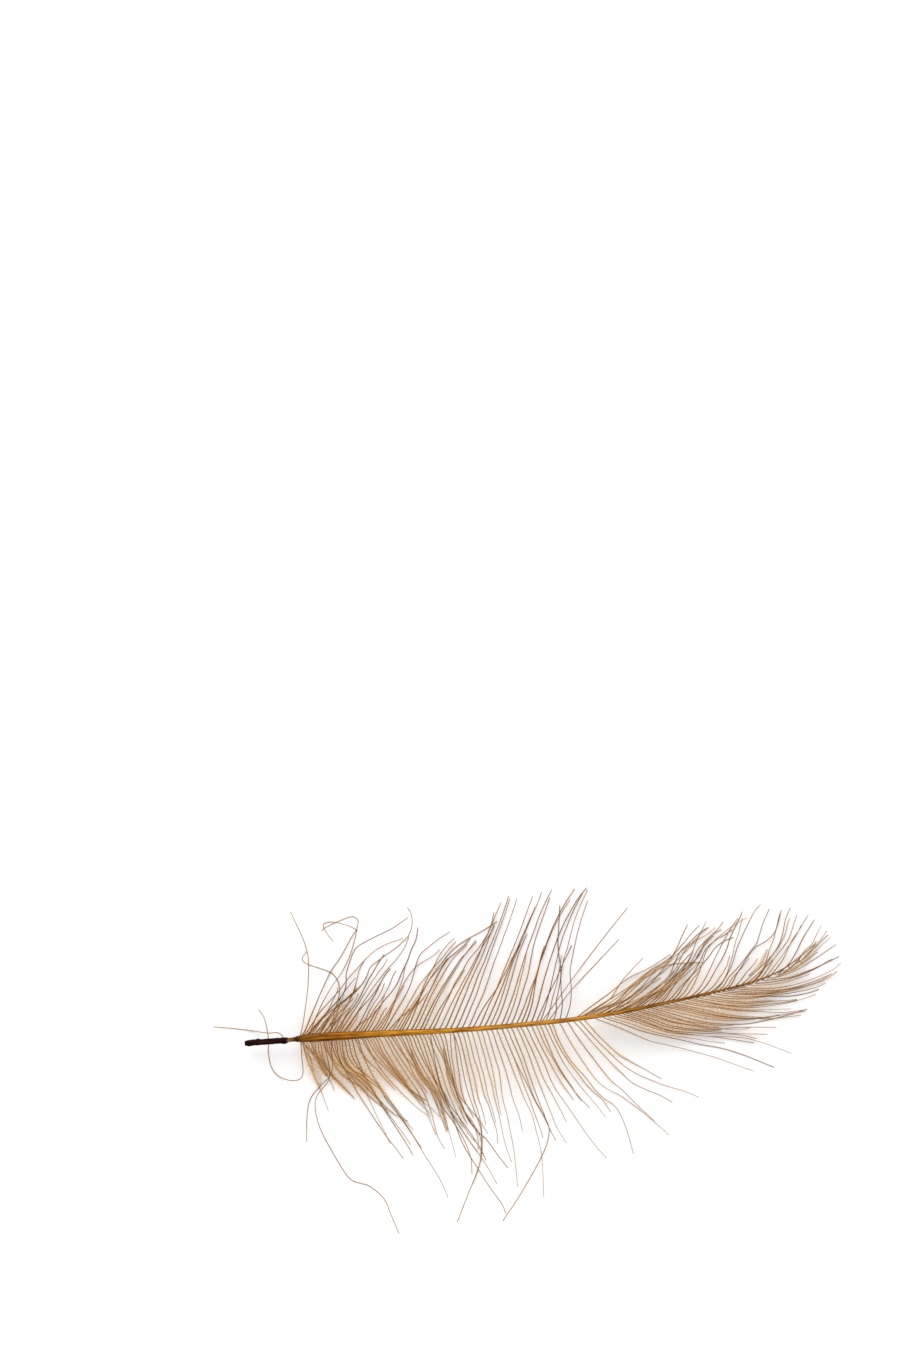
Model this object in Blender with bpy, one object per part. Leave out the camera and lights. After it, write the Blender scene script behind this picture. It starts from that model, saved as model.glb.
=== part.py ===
"""A cul de canard feather lying on a flat surface.

The small down feather of a duck grew as one piece, so it is one solid: the dark quill stub with its
collar, the shaft that thins and curves up to the tip, the barbs of both vanes gathered in tapering
locks, and a few loose barbs that stray from them. The shaft rides clear of the surface, and the outer
stretch of every lock lies flat on it.

Lengths below are millimetres and angles are degrees. +X runs from the quill to the tip, +Y towards
the upper vane, and +Z up from the surface.
"""

import math
from typing import NamedTuple

import bmesh
import bpy
import numpy as np

MM = 0.001


class Guide(NamedTuple):
    """How a barb lies: the shaft station it leaves, its first direction, its tip and last direction."""

    root_x: float
    leave: float
    tip_x: float
    tip_y: float
    arrive: float


class Vane(NamedTuple):
    """A run of locks that changes evenly from guide to guide."""

    guides: list
    locks: int
    width: float


# The shaft's middle line: x, y and height above the surface
SHAFT_ROUTE = [
    (-28.1, 1.70, 1.55),
    (-24.2, 2.03, 1.95),
    (-21.5, 2.28, 2.15),
    (-15.1, 2.70, 2.60),
    (-7.1, 3.10, 2.90),
    (-1.0, 3.60, 2.95),
    (4.8, 4.20, 2.80),
    (10.2, 5.05, 2.50),
    (17.1, 6.50, 2.00),
    (22.2, 7.75, 1.55),
    (25.6, 9.10, 1.20),
    (28.85, 11.60, 0.80),
]

# Half the shaft's thickness at stations along x: the ragged end, the stub, the collar, the swelling
# where the first barbs leave, and the long taper
SHAFT_RADII = [
    (-28.1, 0.20),
    (-27.9, 0.28),
    (-23.95, 0.27),
    (-23.8, 0.20),
    (-23.2, 0.21),
    (-23.0, 0.31),
    (-22.4, 0.36),
    (-21.6, 0.42),
    (-18.2, 0.42),
    (-15.1, 0.34),
    (-7.1, 0.25),
    (4.8, 0.23),
    (11.3, 0.19),
    (17.1, 0.14),
    (28.85, 0.08),
]
SHAFT_STEP = 1.6

UPPER_MAIN = Vane(
    [
        Guide(-22.3, 58, -17.5, 12.8, 62),
        Guide(-20.2, 55, -14.2, 11.5, 48),
        Guide(-17.7, 52, -11.7, 12.5, 60),
        Guide(-14.2, 54, -8.7, 14.2, 58),
        Guide(-10.7, 55, -5.5, 15.5, 66),
        Guide(-6.7, 56, -2.4, 16.2, 72),
        Guide(-2.7, 58, 2.1, 17.0, 70),
        Guide(0.8, 62, 5.9, 17.5, 60),
        Guide(3.9, 74, 6.3, 16.0, 76),
    ],
    locks=20,
    width=1.2,
)
UPPER_TIP = Vane(
    [
        Guide(5.0, 38, 16.3, 11.2, 38),
        Guide(7.8, 38, 18.5, 14.2, 58),
        Guide(12.3, 42, 20.6, 15.2, 58),
        Guide(16.3, 45, 22.5, 15.8, 64),
        Guide(19.3, 40, 24.4, 15.4, 66),
        Guide(22.1, 38, 26.4, 15.5, 68),
        Guide(24.5, 40, 28.3, 14.6, 60),
        Guide(26.5, 46, 29.3, 13.4, 58),
        Guide(28.1, 48, 30.2, 12.9, 45),
    ],
    locks=14,
    width=0.95,
)
LOWER_TIP = Vane(
    [
        Guide(6.9, -24, 23.0, -1.2, -18),
        Guide(9.1, -20, 24.4, -0.8, -24),
        Guide(11.3, -15, 26.3, 0.6, -20),
        Guide(13.5, -12, 26.5, 2.9, -4),
        Guide(15.9, -10, 28.0, 4.9, 12),
        Guide(18.8, -6, 29.1, 6.9, 18),
        Guide(21.5, 0, 30.3, 8.4, 24),
        Guide(23.9, 12, 31.4, 9.6, 26),
        Guide(26.3, 24, 31.1, 11.2, 36),
        Guide(28.3, 40, 30.5, 12.2, 45),
    ],
    locks=14,
    width=1.0,
)
LOWER_MAIN = Vane(
    [
        Guide(-22.3, -68, -19.9, -5.2, -64),
        Guide(-20.2, -76, -17.1, -4.0, -55),
        Guide(-18.2, -74, -13.7, -8.6, -60),
        Guide(-15.9, -70, -10.3, -9.0, -52),
        Guide(-13.5, -66, -7.8, -14.0, -58),
        Guide(-11.2, -70, -5.7, -13.1, -55),
        Guide(-8.7, -76, -4.7, -11.8, -70),
        Guide(-6.5, -72, -1.9, -13.0, -62),
        Guide(-4.3, -68, -0.7, -12.9, -82),
        Guide(-1.9, -62, 1.9, -12.5, -80),
        Guide(0.0, -60, 8.0, -10.0, -54),
        Guide(2.1, -54, 10.7, -9.5, -68),
        Guide(3.9, -47, 14.3, -7.5, -40),
        Guide(5.7, -43, 17.4, -3.8, -14),
    ],
    locks=20,
    width=1.4,
)
VANES = [UPPER_MAIN, UPPER_TIP, LOWER_TIP, LOWER_MAIN]

# Loose barbs, each by the points it passes in plan, from its root
STRAYS = [
    [(-24.4, 2.1), (-25.2, 2.7), (-26.1, 2.75), (-28.7, 3.05), (-31.4, 3.25)],
    [(-22.7, 2.2), (-22.3, 4.2), (-21.9, 8.1), (-22.1, 11.1), (-23.7, 14.8)],
    [(-19.6, 2.4), (-19.5, -1.1), (-20.7, -2.7), (-21.6, -3.8), (-22.0, -5.3), (-22.1, -8.3)],
    [
        (-20.4, 2.3), (-19.7, -1.5), (-20.9, -3.4), (-21.2, -4.5), (-21.0, -6.0), (-20.4, -7.6),
        (-18.9, -10.3), (-17.6, -12.1), (-15.8, -12.7), (-14.3, -14.0), (-13.7, -15.4), (-12.8, -17.5),
    ],
    [
        (-2.6, 3.5), (-1.3, 0.3), (-0.1, -2.2), (1.0, -4.5), (1.9, -6.0), (2.25, -7.3),
        (1.6, -9.5), (-0.5, -13.3), (-2.4, -16.2),
    ],
    [
        (-7.5, 3.1), (-6.9, 1.5), (-6.1, -2.5), (-5.3, -5.0), (-4.6, -7.0), (-4.5, -9.0),
        (-4.9, -11.1), (-5.8, -13.3), (-7.0, -16.4),
    ],
    [
        (-9.7, 3.0), (-8.9, -1.5), (-7.7, -5.0), (-6.5, -8.3), (-5.2, -10.5), (-3.8, -12.7),
        (-2.5, -14.5), (-2.1, -15.5),
    ],
    [(1.4, 3.9), (2.9, 5.9), (4.5, 8.0), (7.7, 12.2), (10.1, 15.2)],
    [(2.1, 4.0), (3.3, 5.6), (4.4, 6.9), (6.3, 8.9), (9.2, 12.0)],
    [
        (-22.6, 2.2), (-22.5, 0.4), (-22.4, -1.3), (-22.8, -2.0), (-23.8, -2.1), (-24.9, -1.7),
        (-25.6, -0.8), (-25.9, 0.6), (-25.9, 2.0), (-26.1, 3.3), (-26.4, 4.3), (-26.9, 5.0),
    ],
    [
        (-20.9, 2.3), (-19.9, 4.1), (-18.9, 5.4), (-17.1, 6.8), (-16.1, 8.2), (-15.7, 9.2),
        (-14.6, 10.1), (-13.2, 11.1), (-12.4, 11.8), (-11.8, 12.5), (-11.5, 13.5), (-11.6, 14.6),
        (-12.0, 15.2),
    ],
    [
        (-21.9, 2.3), (-20.7, 5.2), (-19.6, 7.2), (-18.5, 8.8), (-17.7, 10.5), (-17.2, 12.2),
        (-17.0, 13.3), (-16.9, 13.9), (-17.5, 14.3), (-18.7, 13.9), (-20.2, 13.2), (-20.6, 12.9),
    ],
]
STRAY_WIDTH = 0.34
STRAY_STEP = 1.3

# Across a lock: a flat underside, sloping sides and a narrower top, in parts of its width
LOCK_THICKNESS = 0.24
STRAY_THICKNESS = 0.6
TOP_WIDTH = 0.45

# Along a lock: its width at the root, at its fullest and at the tip, in parts of its full width
LOCK_TAPER = [(0.0, 0.45), (0.1, 1.0), (0.45, 0.85), (0.75, 0.55), (1.0, 0.2)]
LOCK_STATIONS = [0.0, 0.1, 0.22, 0.34, 0.46, 0.58, 0.7, 0.85, 1.0]
# How far along a lock it comes down to the surface, and how far every second lock rides over the next
LANDING = 0.58
SHINGLE = 0.1
# How long the two handles of a barb's curve are, in parts of the straight line from root to tip
HANDLE = 0.36


def clear_scene():
    """Remove whatever the file opened with."""
    for item in list(bpy.data.objects):
        bpy.data.objects.remove(item, do_unlink=True)


def smooth_line(points, spans):
    """Points along a smooth curve that passes through the given ones."""
    knots = np.array(points, dtype=float)
    ends = np.vstack([2 * knots[0] - knots[1], knots, 2 * knots[-1] - knots[-2]])
    line = []
    for i in range(1, len(ends) - 2):
        before, start, stop, after = ends[i - 1 : i + 3]
        for t in np.arange(spans) / spans:
            bend = 2 * before - 5 * start + 4 * stop - after
            twist = -before + 3 * start - 3 * stop + after
            line.append(start + 0.5 * t * (stop - before + t * (bend + t * twist)))
    line.append(knots[-1])
    return np.array(line)


SHAFT_LINE = smooth_line(SHAFT_ROUTE, 24)


def shaft_point(x):
    """The shaft's middle at station x: y and height."""
    y = float(np.interp(x, SHAFT_LINE[:, 0], SHAFT_LINE[:, 1]))
    z = float(np.interp(x, SHAFT_LINE[:, 0], SHAFT_LINE[:, 2]))
    return y, z


def guide_between(guides, x):
    """The guide for a barb that leaves the shaft at station x."""
    stations = [guide.root_x for guide in guides]
    values = [float(np.interp(x, stations, column)) for column in zip(*guides)]
    return Guide(*values)


def droop(t, height):
    """Height of a barb's underside a part t of the way to its tip."""
    if t >= LANDING:
        return 0.0
    return height * 0.5 * (1.0 + math.cos(math.pi * t / LANDING))


def lock_route(guide, lift):
    """Points down the middle of a lock's underside, from its root to its tip."""
    root_y, root_z = shaft_point(guide.root_x)
    root = np.array([guide.root_x, root_y])
    tip = np.array([guide.tip_x, guide.tip_y])
    reach = HANDLE * np.linalg.norm(tip - root)
    leave = math.radians(guide.leave)
    arrive = math.radians(guide.arrive)
    out = root + reach * np.array([math.cos(leave), math.sin(leave)])
    back = tip - reach * np.array([math.cos(arrive), math.sin(arrive)])
    height = root_z - 0.5 * LOCK_THICKNESS + lift
    route = []
    for t in LOCK_STATIONS:
        s = 1.0 - t
        x, y = s**3 * root + 3 * s * s * t * out + 3 * s * t * t * back + t**3 * tip
        route.append((x, y, droop(t, height)))
    return route


def stray_route(points):
    """Points along a loose barb's underside, from its root to its tip."""
    fine = smooth_line(points, 12)
    run = np.concatenate([[0.0], np.cumsum(np.linalg.norm(np.diff(fine, axis=0), axis=1))])
    stations = np.linspace(0.0, run[-1], int(run[-1] / STRAY_STEP) + 2)
    height = shaft_point(points[0][0])[1]
    route = []
    for station in stations:
        x = float(np.interp(station, run, fine[:, 0]))
        y = float(np.interp(station, run, fine[:, 1]))
        route.append((x, y, droop(station / run[-1], height)))
    return route


def section_outline(name, thickness, guides):
    """The outline of a lock's cross-section, one millimetre wide, for a curve to sweep."""
    outline = bpy.data.curves.new(name, "CURVE")
    outline.dimensions = "2D"
    outline.fill_mode = "NONE"
    spline = outline.splines.new("POLY")
    top = 0.5 * TOP_WIDTH
    corners = [(-0.5, 0.0), (0.5, 0.0), (top, thickness), (-top, thickness)]
    spline.points.add(len(corners) - 1)
    for point, (x, y) in zip(spline.points, corners):
        point.co = (x * MM, y * MM, 0.0, 1.0)
    spline.use_cyclic_u = True
    item = bpy.data.objects.new(name, outline)
    guides.objects.link(item)
    return item


def curve_object(name, route, radii, collection):
    """A curve through the route's points, with a thickness factor at each."""
    data = bpy.data.curves.new(name, "CURVE")
    data.dimensions = "3D"
    data.twist_mode = "Z_UP"
    data.use_fill_caps = True
    spline = data.splines.new("POLY")
    spline.points.add(len(route) - 1)
    for point, place, radius in zip(spline.points, route, radii):
        point.co = (place[0] * MM, place[1] * MM, place[2] * MM, 1.0)
        point.radius = radius
    item = bpy.data.objects.new(name, data)
    collection.objects.link(item)
    return item


def curve_to_mesh(item, collection):
    """Swap a curve object for a closed mesh object of the same name."""
    bpy.context.view_layer.update()
    evaluated = item.evaluated_get(bpy.context.evaluated_depsgraph_get())
    mesh = bpy.data.meshes.new_from_object(evaluated)
    matrix = item.matrix_world.copy()
    name = item.name
    bpy.data.objects.remove(item, do_unlink=True)
    shape = bmesh.new()
    shape.from_mesh(mesh)
    bmesh.ops.remove_doubles(shape, verts=shape.verts, dist=1e-7)
    for vert in shape.verts:
        if abs(vert.co.z) < 1e-7:
            vert.co.z = 0.0
    bmesh.ops.recalc_face_normals(shape, faces=shape.faces)
    shape.to_mesh(mesh)
    shape.free()
    solid = bpy.data.objects.new(name, mesh)
    solid.matrix_world = matrix
    collection.objects.link(solid)
    return solid


def make_shaft(parts):
    """The quill stub, collar and rachis as one round, tapering rod."""
    first, last = SHAFT_RADII[0][0], SHAFT_RADII[-1][0]
    even = np.arange(first, last, SHAFT_STEP)
    own = np.array([station for station, _ in SHAFT_RADII])
    spaced = [x for x in even if np.min(np.abs(own - x)) > 0.5 * SHAFT_STEP]
    stations = sorted(list(own) + spaced)
    radii = [float(np.interp(x, own, [radius for _, radius in SHAFT_RADII])) for x in stations]
    route = [(x, *shaft_point(x)) for x in stations]
    item = curve_object("feather", route, radii, parts)
    item.data.bevel_depth = MM
    item.data.bevel_resolution = 2
    return curve_to_mesh(item, parts)


def make_lock(name, route, width, outline, guides):
    """One lock or loose barb: a flat, tapering blade swept along its route."""
    along = np.linspace(0.0, 1.0, len(route))
    if len(route) == len(LOCK_STATIONS):
        along = np.array(LOCK_STATIONS)
    parts_of_width = np.interp(along, [t for t, _ in LOCK_TAPER], [w for _, w in LOCK_TAPER])
    item = curve_object(name, route, list(width * parts_of_width), guides)
    item.data.bevel_mode = "OBJECT"
    item.data.bevel_object = outline
    solid = curve_to_mesh(item, guides)
    solid.hide_render = True
    solid.display_type = "WIRE"
    return solid


def make_locks(locks, guides):
    """The locks of both vanes and the loose barbs, to be grown together with the shaft."""
    lock_section = section_outline("lock_section", LOCK_THICKNESS, guides)
    stray_section = section_outline("stray_section", STRAY_THICKNESS, guides)
    for outline in (lock_section, stray_section):
        outline.hide_render = True
        outline.display_type = "WIRE"
    for vane_number, vane in enumerate(VANES):
        first, last = vane.guides[0].root_x, vane.guides[-1].root_x
        for i, x in enumerate(np.linspace(first, last, vane.locks)):
            route = lock_route(guide_between(vane.guides, x), SHINGLE * (i % 2))
            make_lock(f"lock_{vane_number}_{i:02d}", route, vane.width, lock_section, locks)
    for i, points in enumerate(STRAYS):
        make_lock(f"stray_{i}", stray_route(points), STRAY_WIDTH, stray_section, locks)


def feather_material():
    """The warm brown of the barbs in bulk."""
    material = bpy.data.materials.new("feather")
    material.use_nodes = True
    shader = material.node_tree.nodes["Principled BSDF"]
    shader.inputs["Base Color"].default_value = (0.42, 0.25, 0.11, 1.0)
    shader.inputs["Roughness"].default_value = 0.6
    shader.inputs["Metallic"].default_value = 0.0
    return material


def main():
    """Build the feather."""
    clear_scene()
    parts = bpy.data.collections.new("cul_de_canard_feather")
    guides = bpy.data.collections.new("guides")
    locks = bpy.data.collections.new("locks")
    for collection in (parts, guides, locks):
        bpy.context.scene.collection.children.link(collection)
    feather = make_shaft(parts)
    make_locks(locks, guides)
    union = feather.modifiers.new("grown_together", "BOOLEAN")
    union.operation = "UNION"
    union.operand_type = "COLLECTION"
    union.collection = locks
    union.solver = "EXACT"
    feather.data.materials.append(feather_material())
    feather.data.shade_smooth()
    feather.data.set_sharp_from_angle(angle=math.radians(35))


main()
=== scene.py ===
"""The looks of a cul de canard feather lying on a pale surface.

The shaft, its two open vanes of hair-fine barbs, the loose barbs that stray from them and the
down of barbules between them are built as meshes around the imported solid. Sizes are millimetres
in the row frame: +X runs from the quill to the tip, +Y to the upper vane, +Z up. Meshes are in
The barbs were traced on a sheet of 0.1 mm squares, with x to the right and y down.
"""

from __future__ import annotations

import logging
from dataclasses import dataclass, field

import bpy
import numpy as np
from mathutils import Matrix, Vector

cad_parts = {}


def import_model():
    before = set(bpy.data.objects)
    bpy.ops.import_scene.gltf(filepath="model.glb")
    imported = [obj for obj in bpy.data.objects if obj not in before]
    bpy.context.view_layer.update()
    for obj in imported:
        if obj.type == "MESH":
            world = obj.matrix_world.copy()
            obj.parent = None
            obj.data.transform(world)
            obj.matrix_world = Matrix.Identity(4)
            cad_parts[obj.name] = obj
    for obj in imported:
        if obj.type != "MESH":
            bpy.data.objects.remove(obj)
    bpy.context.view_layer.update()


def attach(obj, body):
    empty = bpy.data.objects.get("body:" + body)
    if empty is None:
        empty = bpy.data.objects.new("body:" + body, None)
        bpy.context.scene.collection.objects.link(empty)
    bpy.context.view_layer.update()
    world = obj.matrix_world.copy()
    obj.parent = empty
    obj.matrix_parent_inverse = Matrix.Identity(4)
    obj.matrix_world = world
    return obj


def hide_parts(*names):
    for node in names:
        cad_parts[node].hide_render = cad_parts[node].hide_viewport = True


LOG = logging.getLogger("feather")
MM = 0.001
BODY = "root"
NODE = "feather"
UP = np.array([0.0, 0.0, 1.0])
SHEET_ORIGIN = np.array([527.0, 1060.0])
SHEET_SQUARE = 0.1
SHAFT_SEED = 3
VANE_SEED = 100
LOOSE_SEED = 200

# Every barb has this many points along it and corners around it, and stays this far off the surface
STATIONS = 44
REACH = np.linspace(0.0, 1.0, STATIONS)
BARB_SIDES = 5
CLEARANCE = 0.01


def linear(hex_colour: str) -> tuple[float, float, float, float]:
    """Turn an sRGB hex colour into linear light.

    Args:
        hex_colour: six hex digits, with or without a leading hash.

    Returns:
        Red, green, blue and alpha for a shader socket.
    """
    digits = hex_colour.lstrip("#")
    values = [int(digits[i : i + 2], 16) / 255 for i in (0, 2, 4)]
    red, green, blue = [v / 12.92 if v <= 0.04045 else ((v + 0.055) / 1.055) ** 2.4 for v in values]
    return red, green, blue, 1.0


def add_node(
    tree: bpy.types.NodeTree, kind: str, settings: dict | None = None, inputs: dict | None = None
) -> bpy.types.Node:
    """Add a shader node, set it up and link it.

    Args:
        tree: the material's or world's node tree.
        kind: the node's type name.
        settings: properties by name; stops is a colour ramp's list of place and hex colour.
        inputs: by socket name or number, either a value or the output socket to link.

    Returns:
        The new node.
    """
    node = tree.nodes.new(kind)
    for name, value in (settings or {}).items():
        if name == "stops":
            elements = node.color_ramp.elements
            while len(elements) < len(value):
                elements.new(0.5)
            for element, (place, colour) in zip(elements, value):
                element.position = place
                element.color = linear(colour)
        else:
            setattr(node, name, value)
    for name, value in (inputs or {}).items():
        socket = node.inputs[name]
        if isinstance(value, bpy.types.NodeSocket):
            tree.links.new(value, socket)
        else:
            socket.default_value = value
    return node


def new_material(name: str) -> tuple[bpy.types.Material, bpy.types.NodeTree, bpy.types.Node]:
    """Start a material.

    Args:
        name: what the surface is.

    Returns:
        The material, its node tree and its Principled BSDF.
    """
    material = bpy.data.materials.new(name)
    material.use_nodes = True
    tree = material.node_tree
    return material, tree, tree.nodes["Principled BSDF"]


def set_surface(shader: bpy.types.Node, roughness: float, gloss: float, ior: float = 1.5) -> None:
    """Set how rough and how glossy a surface is.

    Args:
        shader: its Principled BSDF.
        roughness: how far a reflection spreads, from 0 to 1.
        gloss: how strong a reflection is, where 0.5 is a plain dielectric.
        ior: how strongly the substance bends light.
    """
    shader.inputs["Roughness"].default_value = roughness
    shader.inputs["Specular IOR Level"].default_value = gloss
    shader.inputs["IOR"].default_value = ior


def multiply(
    tree: bpy.types.NodeTree, share: bpy.types.NodeSocket | float, first: object, second: object
) -> bpy.types.NodeSocket:
    """Multiply two colours.

    Args:
        tree: the material's node tree.
        share: how much of the product shows, a value or a socket.
        first: the colour that shows where share is 0, a socket or a value.
        second: the colour it is multiplied by, a socket or a value.

    Returns:
        The socket of the product.
    """
    settings = {"data_type": "RGBA", "blend_type": "MULTIPLY"}
    return add_node(tree, "ShaderNodeMix", settings, {0: share, 6: first, 7: second}).outputs[2]


def let_light_through(
    tree: bpy.types.NodeTree, shader: bpy.types.Node, colour: str, share: float
) -> None:
    """Make a thin thing's surface pass part of the light that falls on it.

    Args:
        tree: the material's node tree.
        shader: its Principled BSDF.
        colour: the hex colour that white light takes on as it passes.
        share: how much of the light passes, from 0 to 1.
    """
    inner = add_node(tree, "ShaderNodeBsdfTransparent", None, {"Color": linear(colour)})
    both = {0: share, 1: shader.outputs["BSDF"], 2: inner.outputs["BSDF"]}
    mixed = add_node(tree, "ShaderNodeMixShader", None, both)
    tree.links.new(mixed.outputs["Shader"], tree.nodes["Material Output"].inputs["Surface"])


@dataclass(frozen=True)
class Grain:
    """A fine grain that runs along the shaft, felt in its relief."""

    size_mm: float
    detail: float
    strength: float
    depth_mm: float

    def lay(self, tree: bpy.types.NodeTree, shader: bpy.types.Node) -> bpy.types.NodeSocket:
        """Lay the grain in a surface.

        Args:
            tree: the material's node tree.
            shader: its Principled BSDF.

        Returns:
            The socket of the grain, for the colour to follow.
        """
        streaks = add_node(tree, "ShaderNodeAttribute", {"attribute_name": "streaks"})
        place = streaks.outputs["Vector"]
        inputs = {"Vector": place, "Scale": 1.0 / self.size_mm, "Detail": self.detail}
        noise = add_node(tree, "ShaderNodeTexNoise", {"noise_dimensions": "3D"}, inputs)
        height = noise.outputs["Fac"]
        inputs = {"Strength": self.strength, "Distance": self.depth_mm * MM, "Height": height}
        relief = add_node(tree, "ShaderNodeBump", None, inputs)
        tree.links.new(relief.outputs["Normal"], shader.inputs["Normal"])
        return height


@dataclass(frozen=True)
class ShaftKeratin:
    """Feather keratin, grown: a smooth, waxy horn that light enters a little.

    To the eye it is golden along the crown, nearly black at the swelling and browner towards the
    tip, with fine streaks along its length and little gloss. Its colour also carries painted
    shade: darker on the sides and underside, which turn from the light, and in the grooves.
    """

    length: float
    roughness: float = 0.36
    ior: float = 1.54
    gloss: float = 0.06
    grain: Grain = Grain(size_mm=0.09, detail=3.0, strength=0.25, depth_mm=0.02)
    lengthwise: tuple = (
        (0.0700, "#5A2C14"),
        (0.0735, "#A06E38"),
        (0.0825, "#6E4418"),
        (0.0855, "#241004"),
        (0.0890, "#3E2404"),
        (0.1000, "#7A4C06"),
        (0.1180, "#A0680A"),
        (0.1500, "#B06E06"),
        (0.2600, "#C08420"),
        (0.5700, "#C48A2C"),
        (0.6700, "#965F10"),
        (0.8000, "#8E5C10"),
        (1.0000, "#9C6A20"),
    )
    streaked: tuple = ((0.36, "#8E7448"), (0.56, "#FFFFFF"))
    # painted shade: the sides and underside, where crown is low, are darkened as if turned from the
    # light
    painted_underside_shade: tuple = ((0.50, "#A08C5C"), (0.72, "#D2C29C"), (0.90, "#FFFFFF"))
    # painted shade inside the grooves
    groove_painted_shade: str = "#8C6C3C"

    def material(self) -> bpy.types.Material:
        """Make the shaft's material.

        Returns:
            The material, coloured by the distance along the shaft and the place around it.
        """
        material, tree, shader = new_material("feather_keratin_shaft")
        along, crown, groove = (
            add_node(tree, "ShaderNodeAttribute", {"attribute_name": name}).outputs["Fac"]
            for name in ("along", "crown", "groove")
        )
        divide = {"operation": "DIVIDE"}
        share = add_node(tree, "ShaderNodeMath", divide, {0: along, 1: self.length})
        grain = self.grain.lay(tree, shader)
        tones = (
            (self.lengthwise, share.outputs[0]),
            (self.streaked, grain),
            # painted shade: darker where the skin faces sideways and down
            (self.painted_underside_shade, crown),
        )
        body, shade, underside_shade = (
            add_node(tree, "ShaderNodeValToRGB", {"stops": stops}, {"Fac": place}).outputs["Color"]
            for stops, place in tones
        )
        colour = multiply(tree, 1.0, multiply(tree, 1.0, body, shade), underside_shade)
        # painted shade: darker inside the grooves
        colour = multiply(tree, groove, colour, linear(self.groove_painted_shade))
        tree.links.new(colour, shader.inputs["Base Color"])
        set_surface(shader, self.roughness, self.gloss, self.ior)
        return material


@dataclass(frozen=True)
class DriedSheath:
    """The sheath of dried skin and oil left on a plucked quill: nearly black, a little waxy."""

    roughness: float = 0.5
    gloss: float = 0.03
    crust: Grain = Grain(size_mm=0.12, detail=4.0, strength=0.5, depth_mm=0.05)
    crusted: tuple = ((0.38, "#120203"), (0.56, "#220808"), (0.70, "#48201C"))

    def material(self) -> bpy.types.Material:
        """Make the stub's material.

        Returns:
            The material, with a fine crust that shows as faint red in the black.
        """
        material, tree, shader = new_material("dried_quill_sheath")
        crust = self.crust.lay(tree, shader)
        body = add_node(tree, "ShaderNodeValToRGB", {"stops": self.crusted}, {"Fac": crust})
        tree.links.new(body.outputs["Color"], shader.inputs["Base Color"])
        set_surface(shader, self.roughness, self.gloss)
        return material


@dataclass(frozen=True)
class BarbKeratin:
    """Feather keratin, grown as hair-fine barbs: dark brown at the shaft, paler to the thin tip."""

    roughness: float = 0.55
    ior: float = 1.54
    gloss: float = 0.05
    passing: float = 0.22
    amber: str = "#F2BE78"
    root_to_tip: tuple = (
        (0.0, "#60400E"),
        (0.04, "#6C4A12"),
        (0.22, "#86642E"),
        (0.50, "#9A7A48"),
        (0.78, "#AA8C56"),
        (1.0, "#B89C68"),
    )
    dark_to_light: tuple = ((0.0, "#B08A54"), (0.5, "#E0C694"), (1.0, "#FFFAF4"))

    def material(self) -> bpy.types.Material:
        """Make the barbs' material.

        Returns:
            The material, coloured by the place along each barb and the barb's own tone.
        """
        material, tree, shader = new_material("feather_keratin_barb")
        reach, tone = (
            add_node(tree, "ShaderNodeAttribute", {"attribute_name": name}).outputs["Fac"]
            for name in ("reach", "tone")
        )
        body = add_node(tree, "ShaderNodeValToRGB", {"stops": self.root_to_tip}, {"Fac": reach})
        own = add_node(tree, "ShaderNodeValToRGB", {"stops": self.dark_to_light}, {"Fac": tone})
        mixed = multiply(tree, 1.0, body.outputs["Color"], own.outputs["Color"])
        tree.links.new(mixed, shader.inputs["Base Color"])
        let_light_through(tree, shader, self.amber, self.passing)
        set_surface(shader, self.roughness, self.gloss, self.ior)
        return material


@dataclass(frozen=True)
class BarbuleDown:
    """Feather keratin, grown as down: threads so thin that light passes, so they glow pale tan."""

    roughness: float = 0.7
    ior: float = 1.54
    gloss: float = 0.02
    passing: float = 0.74
    amber: str = "#FFF1D6"
    dark_to_light: tuple = ((0.0, "#D2AE80"), (0.5, "#ECD0A8"), (1.0, "#FFEED4"))

    def material(self) -> bpy.types.Material:
        """Make the down's material.

        Returns:
            The material, coloured by each thread's own tone.
        """
        material, tree, shader = new_material("feather_keratin_down")
        tone = add_node(tree, "ShaderNodeAttribute", {"attribute_name": "tone"}).outputs["Fac"]
        body = add_node(tree, "ShaderNodeValToRGB", {"stops": self.dark_to_light}, {"Fac": tone})
        tree.links.new(body.outputs["Color"], shader.inputs["Base Color"])
        let_light_through(tree, shader, self.amber, self.passing)
        set_surface(shader, self.roughness, self.gloss, self.ior)
        return material


@dataclass(frozen=True)
class MattePaper:
    """White paper, pressed and uncoated: flat and without gloss."""

    colour: str = "#F4F3F3"
    roughness: float = 0.95
    gloss: float = 0.1

    def material(self) -> bpy.types.Material:
        """Make the floor's material.

        Returns:
            The material.
        """
        material, _, shader = new_material("matte_white_paper")
        shader.inputs["Base Color"].default_value = linear(self.colour)
        set_surface(shader, self.roughness, self.gloss)
        return material


def smooth_line(points: np.ndarray, spans: int) -> np.ndarray:
    """Follow a smooth curve through points.

    Args:
        points: the points that it passes, one row each.
        spans: how many steps to take between two of them.

    Returns:
        The points of the curve, one row each.
    """
    knots = np.asarray(points, dtype=float)
    ends = np.vstack([2 * knots[0] - knots[1], knots, 2 * knots[-1] - knots[-2]])
    line = []
    for i in range(1, len(ends) - 2):
        before, start, stop, after = ends[i - 1 : i + 3]
        for t in np.arange(spans) / spans:
            bend = 2 * before - 5 * start + 4 * stop - after
            twist = -before + 3 * start - 3 * stop + after
            line.append(start + 0.5 * t * (stop - before + t * (bend + t * twist)))
    line.append(knots[-1])
    return np.array(line)


def run_along(points: np.ndarray) -> np.ndarray:
    """Measure how far along a line each of its points is."""
    return np.concatenate([[0.0], np.cumsum(np.linalg.norm(np.diff(points, axis=0), axis=1))])


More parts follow.
